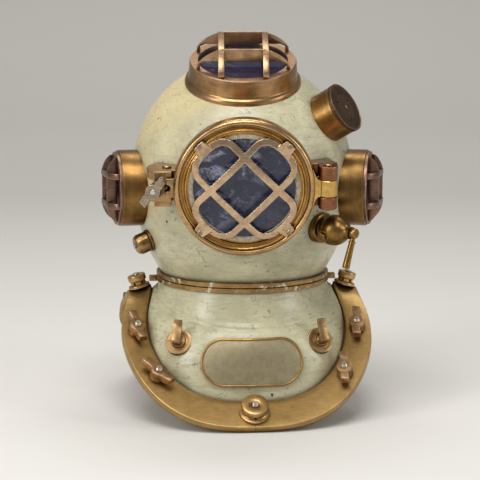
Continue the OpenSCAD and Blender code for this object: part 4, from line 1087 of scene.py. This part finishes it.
# SPITCOCK
# A turned cock low on the left cheek, with a hexagonal gland on one side and a lever with a
# round knob on its end, which the diver's cheek or hand turns.
KNOB_Z = 206.0
COCK = [(0, 120), (21, 120), (21, 155), (20.4, 156.6), (19.4, 157.1), (15.9, 158), (15.2, 159.2),
        (15.4, 160.8), (17.2, 162.8), (19.2, 165.2), (20.4, 168.2), (20.9, 171.4), (20.9, 176.2),
        (20.2, 180.4), (18.7, 184.4), (16.6, 188.4), (14, 192.2), (11, 195.6), (9.2, 198.4),
        (8.5, 201), (8.5, KNOB_Z - 0.6), (0, KNOB_Z - 0.6)]
SPINDLE = raised(KNOB_Z, [(0, -1), (3, -1), (3, 8), (2.4, 8.6), (0, 8.6)])
GLAND = [(0, 10), (8.2, 10), (8.2, 21), (7.7, 21.5), (0, 21.5)]
GLAND_HEXAGON = [(0, 12), (6.4, 12), (6.4, 24.9), (5.8, 25.5), (0, 25.5)]
GLAND_PLACE = SPIT @ moved(0, 0, 172) @ rotated(-72, "Z") @ rotated(90, "X")
LEVER_CAP = raised(KNOB_Z, [(3.05, 0), (6.8, 0), (7.2, 1), (7.4, 3), (7.1, 5.6), (6.2, 7.4),
                            (3.6, 8), (3.05, 7.9)])
LEVER_ARM = [(0, 5.5), (3.2, 5.5), (3.2, 10.1), (4.4, 10.5), (5, 11.2), (5, 12.4), (4.3, 13),
             (4.1, 14.2), (5.1, 45.4), (5.2, 46.4), (4.6, 47.5), (3, 48.2), (0, 48.2)]
ARM_PLACE = SPIT @ moved(0, 0, KNOB_Z + 3.8) @ rotated(-18, "Z") @ rotated(90, "X")

# Dark cast brass with golden turning marks on its shoulder
cock_brass = aged_metal("turned_brass_of_spitcock", "#80602F", "#38250D", "#C9A774", 0.26, 12, SPIT)
gland = fused("spitcock_gland", turned("gland", GLAND, 48), turned("hexagon", GLAND_HEXAGON, 6))
for piece, crisp, place in ((bedded(turned("spitcock_turned", COCK), SPIT), 35, HERE),
                            (turned("spitcock_spindle", SPINDLE, 32), 35, SPIT),
                            (gland, 25, GLAND_PLACE)):
    settle(piece, crisp, place, "bonnet", "brass", cock_brass, "spitcock_body")
# The lever: brown gold, bright at its knob
lever_brass = aged_metal("handled_brass_of_lever", "#8E6A30", "#402B0E", "#D4AE70", 0.26, 9)
for piece, place in ((turned("lever_cap", LEVER_CAP, 48), SPIT),
                     (turned("lever_arm", LEVER_ARM, 48), ARM_PLACE)):
    settle(piece, 35, place, "spitcock_lever", "brass", lever_brass, "spitcock_lever")

# EXHAUST VALVE
# The diver's outlet low on the right cheek: a boss, a wheel with twelve flats that turns on
# it, and a stem with a disc and a spring, which the diver's head presses from inside.
BOSS = [(2.55, 146), (7, 146), (7, 130), (11.9, 130), (11.9, 120), (15.6, 120), (15.6, 151.2),
        (14.8, 152), (10, 152), (10, 157.4), (9.4, 158), (2.55, 158)]
WHEEL = [(10.05, 152.4), (13.4, 152.4), (14.2, 152.9), (14.6, 153.8), (14.6, 164.6),
         (14.1, 165.9), (11.6, 169.8), (10.6, 170.4), (2.9, 170.4), (2.9, 158.4), (10.05, 158.4)]
STEM = [(0, 104), (11, 104), (13, 106), (13, 110), (2.5, 110), (2.5, 132), (6.4, 132), (6.4, 134),
        (2.5, 134), (2.5, 173.4), (1.9, 174), (0, 174)]
WIRE_RADIUS = 0.6


def spring(name, radius, low, high, turns):
    """A coil of round wire, wound from low to high."""
    deselect()
    bpy.ops.mesh.primitive_circle_add(vertices=10, radius=WIRE_RADIUS, fill_type="NOTHING",
                                      location=(0, 0, 0))
    piece = bpy.context.object
    piece.name = name
    piece.data.transform(moved(radius, 0, low) @ rotated(90, "X"))
    modify(piece, "SCREW", angle=2 * math.pi, steps=24, render_steps=24, iterations=turns,
           screw_offset=(high - low) / turns, axis="Z", use_merge_vertices=False)
    edit()
    bpy.ops.mesh.remove_doubles(threshold=0.001)
    bpy.ops.mesh.fill_holes(sides=0)
    close_up()
    return piece


# Browned brass boss; the wheel golden where fingers turn it, brown between the flats
boss_brass = aged_metal("turned_brass_of_exhaust_boss", "#7E5F34", "#3A2610", "#C6A270", 0.3, 10,
                        EXHAUST)
wheel_brass = aged_metal("handled_brass_of_wheel", "#96744A", "#4A3012", "#E2C592", 0.26, 9)
settle(bedded(turned("exhaust_boss", BOSS), EXHAUST), 32, HERE, "bonnet", "brass", boss_brass,
       "exhaust_valve_body")
settle(bevelled(turned("exhaust_wheel_turned", WHEEL, 12), 0.5, over=25), 20, EXHAUST,
       "exhaust_wheel", "brass", wheel_brass, "exhaust_valve_wheel")
# Turned nickel silver, pale, and wire tinned to the same shine
stem_metal = aged_metal("nickel_silver_stem", "#C6C2B8", "#7C766A", "#EFECE6", 0.22, 6, patina=0.4)
settle(turned("exhaust_stem_turned", STEM, 48), 35, EXHAUST, "exhaust_stem", "bright", stem_metal,
       "exhaust_stem")
settle(spring("exhaust_spring_wire", 4.6, 134.8, 145.2, 5), 60, EXHAUST, "bonnet", "bright",
       stem_metal, "exhaust_spring")

# AIR SUPPLY
# At the back the air hose screws on to a non-return valve on a bent elbow: cast brass with a
# hexagon for the spanner, a disc on a light spring, and a threaded inlet.
AIR_Z = 160.0
ELBOW_BEND, ELBOW_ANGLE = 26.0, 62
ELBOW_FOOT = [(7.5, 120), (21, 120), (21, 155), (20.4, 156.3), (19.4, 157), (15.2, 157.4),
              (13.6, 158.2), (12.5, AIR_Z), (7.5, AIR_Z)]
ELBOW_COLLAR = [(0, -0.8), (11.6, -0.8), (12.4, 0), (12.4, 5.4), (11.8, 6), (0, 6)]
INLET_THREAD = [(11 - 0.9 * (ridge % 2), 37 + 0.75 * ridge) for ridge in range(20)]
NON_RETURN = [(7.5, 0), (14.5, 0), (14.5, 29.2), (15, 29.6), (17, 30), (17, 35), (16.2, 36),
              (11, 36), *INLET_THREAD, (9.6, 52), (7.5, 52), (7.5, 28), (11.5, 28), (11.5, 4),
              (7.5, 4)]
VALVE_HEXAGON = [(14, 0), (16.6, 0), (17.5, 0.9), (17.5, 8.1), (16.6, 9), (14, 9)]
DISC = [(0, 8), (1.8, 8), (1.8, 20), (9.4, 20), (9.8, 20.5), (9.8, 22.6), (9.4, 23), (0, 23)]


def bent_tube(name, radius, bend, angle):
    """A tube that rises along z and bends over towards -y, with its ends closed."""
    deselect()
    bpy.ops.mesh.primitive_circle_add(vertices=40, radius=radius, fill_type="NOTHING")
    piece = bpy.context.object
    piece.name = name
    edit()
    # The operator turns left-handed
    bpy.ops.mesh.spin(steps=20, angle=-math.radians(angle), center=(0, -bend, 0), axis=(1, 0, 0))
    bpy.ops.mesh.select_all(action="SELECT")
    bpy.ops.mesh.remove_doubles(threshold=0.001)
    bpy.ops.mesh.fill_holes(sides=0)
    close_up()
    return piece


def past_bend(bend, angle):
    """The place at the far end of a bent tube."""
    return moved(0, -bend, 0) @ rotated(angle, "X") @ moved(0, bend, 0)


ELBOW_END = AIR @ moved(0, 0, AIR_Z) @ past_bend(ELBOW_BEND, ELBOW_ANGLE)
VALVE = ELBOW_END @ moved(0, 0, 6)
# Brown cast brass on the elbow, yellower and turned on the valve
air_brass = aged_metal("cast_brass_of_air_elbow", "#94703F", "#452E12", "#D3AF7E", 0.3, 16)
valve_brass = aged_metal("turned_brass_of_non_return_valve", "#A07C4A", "#4C3417", "#DDBB88", 0.27,
                         12, VALVE)
for piece, crisp, place, metal, node_name in (
        (bedded(turned("air_elbow_foot", ELBOW_FOOT), AIR), 32, HERE, air_brass, "air_elbow"),
        (bent_tube("air_elbow_bend", 11, ELBOW_BEND, ELBOW_ANGLE), 40,
         AIR @ moved(0, 0, AIR_Z - 0.3), air_brass, "air_elbow"),
        (turned("air_elbow_collar", ELBOW_COLLAR, 64), 32, ELBOW_END, air_brass, "air_elbow"),
        (turned("non_return_valve_turned", NON_RETURN, 72), 32, VALVE, valve_brass,
         "non_return_body"),
        (turned("non_return_hexagon", VALVE_HEXAGON, 6), 25, VALVE, valve_brass,
         "non_return_body")):
    settle(piece, crisp, place, "bonnet", "brass", metal, node_name)
settle(turned("non_return_disc_turned", DISC, 48), 35, VALVE, "non_return_disc", "dark", leather,
       "non_return_disc")
settle(spring("non_return_spring_wire", 9, 4.65, 19.35, 4), 60, VALVE, "bonnet", "bright",
       stem_metal, "non_return_spring")

# TELEPHONE ELBOW
# The telephone cable's gooseneck at the back left, painted over with the bonnet: a flange, a
# bent tube and a gland nut for the cable.
COMM_Z = 157.0
COMM_BEND, COMM_ANGLE = 16.0, 48
COMM_FOOT = [(3, 120), (14, 120), (14, 150.2), (13.6, 151.4), (12.5, 152), (9.2, 152.8),
             (8.4, 153.8), (8, 156.4), (7.4, COMM_Z), (3, COMM_Z)]
COMM_GLAND = [(3, -0.6), (5.2, -0.6), (5.2, 16), (7, 16), (7.6, 16.6), (7.6, 24.4), (7, 25),
              (6, 25), (6, 33.4), (5.4, 34), (3, 34)]
COMM_END = COMM @ moved(0, 0, COMM_Z) @ past_bend(COMM_BEND, COMM_ANGLE)

for piece, crisp, place in (
        (bedded(turned("telephone_elbow_foot", COMM_FOOT, 72), COMM), 32, HERE),
        (bent_tube("telephone_elbow_bend", 4.6, COMM_BEND, COMM_ANGLE), 40,
         COMM @ moved(0, 0, COMM_Z - 0.3)),
        (turned("telephone_elbow_gland", COMM_GLAND, 48), 32, COMM_END)):
    settle(piece, crisp, place, "bonnet", "paint", bonnet_enamel, "comm_elbow")
bpy.data.objects.remove(bonnet_form)

# AIR CHANNELS
# Thin copper ducts soldered inside the bonnet, which lead the air from the inlet over the
# glasses so that they stay clear; enamelled with the rest.
settle(cad_copy("air_channels_sheet", "air_channels"), 35, HERE, "bonnet", "paint", bonnet_enamel,
       "air_channels")

# DOOR RING
# The hinged window's ring, turned from a brass casting: a polished round bead, a golden step
# and the grooves between, with the hinge's knuckle and the slotted lug of the clamp.
BEAD_BORE = DOOR_RADIUS - 10.2
BEAD = [(BEAD_BORE, 0.4), (DOOR_RADIUS - 0.8, 0.4), (DOOR_RADIUS, 1.2), (DOOR_RADIUS, 11.2),
        (DOOR_RADIUS - 0.2, 13.2), (DOOR_RADIUS - 0.8, 15), (DOOR_RADIUS - 1.8, 16.5),
        (DOOR_RADIUS - 3.2, 17.5), (DOOR_RADIUS - 4.7, 17.95), (DOOR_RADIUS - 6.1, 17.6),
        (DOOR_RADIUS - 7.3, 16.6), (DOOR_RADIUS - 8, 15.2), (DOOR_RADIUS - 8.4, 13.9),
        (BEAD_BORE, 13.9)]
STEP = [(66, 0.4), (BEAD_BORE, 0.4), (BEAD_BORE, 15.8), (BEAD_BORE - 0.4, 16), (83, 15),
        (82, 14.3), (80.9, 14.2), (79.9, 14.8), (79.2, 15.9), (78.7, 16.9), (78.2, 17.2),
        (77.4, 16.8), (76.9, 13.4), (74.8, 13.4), (74.8, 4), (66, 4)]
SCREW_OUT, SCREW_RADIUS = 84.2, 1.8
SCREWS = [rotated(corner, "Z") @ moved(SCREW_OUT, 0, 0) for corner in (45, 135, 225, 315)]
LUG_LOW, LUG_HIGH = 7.6, 13.6
LUG_INNER, LUG_OUTER, LUG_HALF_WIDTH, SLOT_RADIUS = -90, -CLAMP_X - 1, 13, 5
BARREL_RADIUS = 12.5
PIN_BORE = 4.05
KNUCKLE = [(PIN_BORE, -11.6), (BARREL_RADIUS - 1, -11.6), (BARREL_RADIUS, -10.6),
           (BARREL_RADIUS, 10.6), (BARREL_RADIUS - 1, 11.6), (PIN_BORE, 11.6)]
ARM = [(89.5, -28), (94, -17.5), (97.3, -12.6), (103, -11), (103, 11), (97.3, 12.6), (94, 17.5),
       (89.5, 28)]
ARM_LOW, ARM_HIGH = 4, 15.2

# Pink gold, the brightest metal of the helmet, brown in its groove
bead_bronze = aged_metal("polished_bead_of_door", "#BE955F", "#5E3C18", "#FADFB2", 0.2, 18, FACE)
# Yellow gold step, less rubbed
step_brass = aged_metal("golden_step_of_door", "#B98A40", "#6A4312", "#F0CB86", 0.2, 14, FACE)
# Yellow gold, polished by the hands that swing the door
knuckle_brass = aged_metal("golden_knuckle_of_door", "#CDA35A", "#7A5420", "#FBDF9E", 0.2, 10,
                           patina=0.5)
step = cut_away(turned("door_step", STEP, 192),
                *(bore(SCREW_RADIUS, 9, 20, place, 24) for place in SCREWS))
slot_arc = arc(SLOT_RADIUS, range(-90, 91, 15), -CLAMP_X)
lug = plate("door_clamp_lug", [
    (LUG_INNER, -LUG_HALF_WIDTH), (LUG_OUTER, -LUG_HALF_WIDTH), (LUG_OUTER, -SLOT_RADIUS),
    *slot_arc, (LUG_OUTER, SLOT_RADIUS), (LUG_OUTER, LUG_HALF_WIDTH), (LUG_INNER, LUG_HALF_WIDTH)],
    LUG_LOW, LUG_HIGH)
arm = plate("door_hinge_arm", ARM, ARM_LOW, ARM_HIGH)
for piece, crisp, place, metal in (
        (turned("door_bead", BEAD, 192), 32, FACE, bead_bronze), (step, 32, FACE, step_brass),
        (bevelled(lug, 0.8, 3), 40, FACE, clamp_brass),
        (turned("door_knuckle", KNUCKLE, 72), 32, HINGE, knuckle_brass),
        (bevelled(arm, 0.9, 3), 40, FACE, knuckle_brass)):
    settle(piece, crisp, place, "faceplate", "brass", metal, "faceplate_ring")

# DOOR GLASS
# A thick round pane, cemented in with white lead that shows as a pale ring round it. The
# cement was packed in as a twisted cord, whose lay still shows every 3 mm.
DOOR_PANE = [(0, 4), (74, 4), (74.6, 4.6), (74.6, 11.4), (74, 12), (0, 12)]
CEMENT = [(67.8, 12), (74.6, 12), (74.6, 14), (73.8, 14.4), (70, 14.3), (68.4, 13.7)]
CORD_STRANDS, CORD_SKEW = 150, 900

settle(turned("door_pane", DOOR_PANE, 128), 32, FACE, "faceplate", "window",
       filmed_glass("plate_glass_of_door", FACE, 75, 0.75), "faceplate_glass")
# Old white lead cement, gone cream and grimy
cement, tree, output = new_material("old_white_lead_cement")
place = add(tree, "TexCoord").outputs["Object"]
dirt = add(tree, "TexNoise", {"Scale": 160, "Detail": 5, "Roughness": 0.65}, {0: place})
share = add(tree, "MapRange", {1: 0.42, 2: 0.7, 4: 0.75}, {0: dirt})
colour = add(tree, "Mix", {"data_type": "RGBA", 6: tint("#D3C6AB"), 7: tint("#8C7A5C")}, {0: share})
local, split, flat, out = local_axes(tree, place, FACE)
turn = add(tree, "Math", {"operation": "ARCTAN2"}, {0: split.outputs[1], 1: split.outputs[0]})
skew = add(tree, "Math", {"operation": "MULTIPLY", 1: CORD_SKEW}, {0: out})
lay = add(tree, "Math", {"operation": "MULTIPLY_ADD", 1: CORD_STRANDS}, {0: turn, 2: skew})
lay = add(tree, "Math", {"operation": "SINE"}, {0: lay})
share = add(tree, "MapRange", {1: -1, 2: 0.2, 3: 0.45, 4: 0}, {0: lay})
colour = add(tree, "Mix", {"data_type": "RGBA", 7: tint("#6E5E44")}, {0: share, 6: colour})
crust = add(tree, "Bump", {"Strength": 0.5, "Distance": 0.0004}, {"Height": dirt})
crust = add(tree, "Bump", {"Strength": 0.7, "Distance": 0.0005}, {"Height": lay, "Normal": crust})
shader = add(tree, "BsdfPrincipled", {"Roughness": 0.6}, {"Base Color": colour, "Normal": crust})
tree.links.new(shader.outputs[0], output.inputs[0])
settle(turned("door_cement", CEMENT, 144), 40, FACE, "faceplate", "seal", cement, "faceplate_seal")

# DOOR GUARD
# One casting of four petals over the glass, held by a slotted screw at each ear. Its bars
# are the most handled metal and shine.
GUARD_SCREW = [(0, 9.2), (SCREW_RADIUS, 9.2), (SCREW_RADIUS, 20.4), (3.6, 20.4), (3.6, 21.1),
               (3.1, 21.8), (2.2, 22.3), (0, 22.6)]
SLOT_TURNS = (20, 75, -35, 50)

# Pale pinkish bronze with white edges
guard_bronze = aged_metal("polished_cast_guard", "#CBAA86", "#6A4B2E", "#FFEFD6", 0.18, 14,
                          patina=0.6)
cast("door_guard_casting", "faceplate_guard", 0.6, 10, "faceplate", "bronze", guard_bronze)
# Worn steel screws, stained as brown as the bars they hold
screw_metal = aged_metal("worn_steel_screw", "#A58A6C", "#54402A", "#E6CDAA", 0.28, 5, patina=0.5)
screw = cut_away(turned("guard_screw", GUARD_SCREW, 32),
                 plate("slot", oblong(-5, 5, -0.5, 0.5), 21.6, 24))
for number, (place, slot_turn) in enumerate(zip(SCREWS, SLOT_TURNS)):
    settle(copied(screw, f"guard_screw_{number + 1}"), 32, FACE @ place @ rotated(slot_turn, "Z"),
           "faceplate", "bright", screw_metal, "guard_screws")
bpy.data.objects.remove(screw)

# SWING BOLT
# The door's closing bolt swings on its pin between the cheeks; a washer and a wing nut
# pull it down on the slotted lug. It stands off, as in the photograph.
BOLT = FACE @ moved(-CLAMP_X, 0, CLAMP_Z) @ rotated(-22, "Y")
EYE = [(PIN_BORE, -8.1), (8.4, -8.1), (9, -7.5), (9, 7.5), (8.4, 8.1), (PIN_BORE, 8.1)]
BOLT_RADIUS, BOLT_TOP = 4.5, 49
SHANK = [(0, 7), (BOLT_RADIUS, 7), (BOLT_RADIUS, 22), *thread(BOLT_RADIUS, 0.45, 22, 21),
         (BOLT_RADIUS - 0.3, BOLT_TOP - 0.8), (BOLT_RADIUS - 1.1, BOLT_TOP), (0, BOLT_TOP)]
WASHER_LOW = LUG_HIGH - CLAMP_Z + 3.35
WASHER = raised(WASHER_LOW, [(4.55, 0), (8.6, 0), (9, 0.4), (9, 1.8), (8.6, 2.2), (4.55, 2.2)])
NUT_SCALE = 0.95
CLAMP_NUT = BOLT @ moved(0, 0, WASHER_LOW + 2.3) @ rotated(46, "Z") @ Matrix.Scale(NUT_SCALE, 4)

settle(turned("swing_bolt_eye", EYE, 48), 32, BOLT @ rotated(90, "X"), "swing_bolt", "bright",
       stem_metal, "swing_bolt")
settle(turned("swing_bolt_shank", SHANK, 36), 35, BOLT, "swing_bolt", "bright", stem_metal,
       "swing_bolt")
settle(turned("clamp_washer_turned", WASHER, 48), 32, BOLT, "clamp_washer", "brass", clamp_brass,
       "clamp_washer")
# Cast gunmetal, silvery pink where the diver's tender has turned it
clamp_gunmetal = aged_metal("cast_gunmetal_of_clamp_nut", "#918270", "#4A3E30", "#EFE0CA", 0.26, 7)
settle(copied(wing_pattern, "clamp_wing_nut_casting"), 38, CLAMP_NUT, "clamp_wing_nut", "bronze",
       clamp_gunmetal, "clamp_wing_nut")
bpy.data.objects.remove(wing_pattern)

# SAFETY LOCK
# A hinged dog at the back of the neck drops into a catch on the bonnet's ring, so that the
# bonnet can't unscrew by itself. The dog is the wing nuts' gunmetal.
lock_brass = aged_metal("cast_brass_of_lock", "#9A7848", "#4A3218", "#DAB886", 0.3, 10)
cast("lock_catch_casting", "lock_catch", 0.5, 3, "bonnet", "brass", lock_brass)
cast("lock_hinge_casting", "lock_hinge", 0.5, 3, "breastplate", "brass", lock_brass)
cast("safety_dog_casting", "safety_lock", 0.5, 3, "safety_lock", "bronze", nut_bronze)
